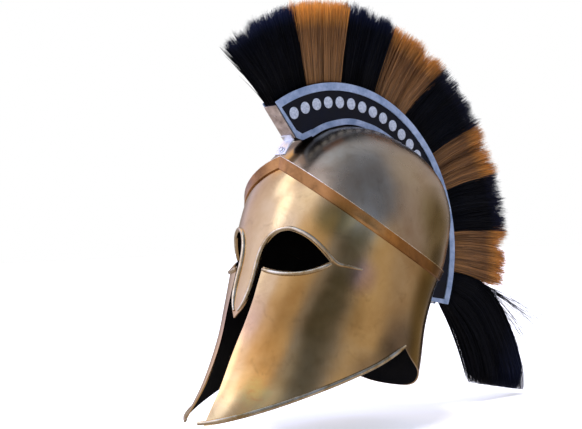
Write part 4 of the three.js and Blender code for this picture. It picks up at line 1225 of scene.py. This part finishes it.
def studio():
    """A wide, flat, pale floor and a high soft sun."""
    floor = bpy.data.meshes.new("studio_floor")
    level = (-FLOOR_BELOW - ORIGIN[2]) * MM
    corners = [(x * FLOOR_HALF, y * FLOOR_HALF, level) for x, y in ((-1, -1), (1, -1), (1, 1), (-1, 1))]
    floor.from_pydata(corners, [], [(0, 1, 2, 3)])
    n = Nodes("studio_floor")
    n.set(Base_Color=n.ramp(n.noise(n.position(), scale=3.0), FLOOR_COLOURS), Roughness=0.85,
          Emission_Color=(1.0, 1.0, 1.0), Emission_Strength=FLOOR_GLOW)
    floor.materials.append(n.material)
    ground = bpy.data.objects.new("studio_floor", floor)
    bpy.context.scene.collection.objects.link(ground)
    ground.visible_glossy = False  # the brass sees the painted surroundings there instead
    sun = bpy.data.lights.new("high_sun", "SUN")
    sun.energy, sun.angle, sun.color = SUN_STRENGTH, math.radians(SUN_WIDTH), SUN_COLOUR
    lamp = bpy.data.objects.new("high_sun", sun)
    lamp.rotation_euler = SUN_RUN.to_track_quat("-Z", "Y").to_euler()
    lamp.visible_glossy = False  # it lights the hair; the brass has its sun among the GLOWS
    bpy.context.scene.collection.objects.link(lamp)


# What the brass reflects, painted over an even sky: bearing (0 ahead of the wearer, 90 to the
# wearer's left) and height in degrees, half width in degrees, colour and how much of it.
GLOWS = [
    ("overhead", 0, 90, 40, (0.5, 0.64, 1.05), 0.9),
    ("left_sky", 98, 36, 42, (0.2, 0.27, 0.5), 1.0),
    ("rear_sky", 160, 20, 28, (0.56, 0.54, 0.6), 0.9),
    ("blue_patch", -34, 72, 15, (0.8, 1.15, 2.1), 0.85),
    ("front_low", -20, 26, 38, (1.15, 1.25, 2.1), 1.0),
    ("front_right", -84, 22, 20, (1.0, 1.0, 1.5), 0.8),
    ("key", -46, 50, 8, (2.8, 3.3, 5.2), 1.0),
    ("key_middle", -20, 39, 8, (2.6, 3.0, 4.6), 1.0),
    ("key_left", 14, 48, 10, (1.6, 1.9, 3.0), 0.9),
    ("warm_wall", -96, 50, 12, (1.6, 1.05, 0.45), 0.9),
    ("gold_near", 26, 25, 11, (0.95, 0.86, 0.85), 0.9),
    ("gold_side", 46, 19, 12, (0.68, 0.58, 0.5), 0.95),
    ("blue_edge", 72, 17, 7, (0.46, 0.52, 0.7), 0.8),
    ("left_ground", 113, -12, 12, (0.62, 0.55, 0.5), 0.95),
    ("shade", 74, -3, 9, (0.06, 0.065, 0.06), 1.0),
    ("shade_left", 85, -5, 8, (0.07, 0.08, 0.08), 0.95),
    ("side_wall", 136, 2, 15, (0.48, 0.45, 0.54), 0.9),
    ("behind", 174, -8, 17, (0.2, 0.16, 0.09), 1.0),
]
GLOW_FULL, GLOW_GONE = 0.4, 1.6  # how far a glow is full, and where it ends, in its half widths
SKY = (0.42, 0.38, 0.4)
BACKDROP = 1.0


def sky():
    """An even pale backdrop for the camera, and soft lights and shades for the brass to reflect."""
    world = bpy.data.worlds.new("studio")
    bpy.context.scene.world = world
    n = Tree(world)
    n.tree.nodes.clear()
    direction = n.add("ShaderNodeTexCoord").outputs["Generated"]
    below = SKY
    for name, bearing, height, half_width, tint, amount in GLOWS:
        a, e = math.radians(bearing), math.radians(height)
        towards = (math.sin(a) * math.cos(e), -math.cos(a) * math.cos(e), math.sin(e))
        dot = n.add("ShaderNodeVectorMath", {0: direction, 1: towards}, operation="DOT_PRODUCT", label=name)
        gone, full = (math.cos(math.radians(share * half_width)) for share in (GLOW_GONE, GLOW_FULL))
        inputs = {"Value": dot.outputs["Value"], "From Min": gone, "From Max": full, "To Max": amount}
        near = n.add("ShaderNodeMapRange", inputs, interpolation_type="SMOOTHSTEP").outputs["Result"]
        below = n.add("ShaderNodeMix", {0: near, 6: below, 7: tint}, data_type="RGBA").outputs[2]
    lights = n.add("ShaderNodeBackground", {"Color": below}).outputs[0]
    backdrop = n.add("ShaderNodeBackground", {"Color": (1.0, 1.0, 1.0), "Strength": BACKDROP}).outputs[0]
    to_camera = n.add("ShaderNodeLightPath").outputs["Is Camera Ray"]
    seen = n.add("ShaderNodeMixShader", {"Fac": to_camera, 1: lights, 2: backdrop}).outputs[0]
    n.add("ShaderNodeOutputWorld", {"Surface": seen})


studio()
sky()
bpy.context.scene.view_settings.view_transform = "Standard"
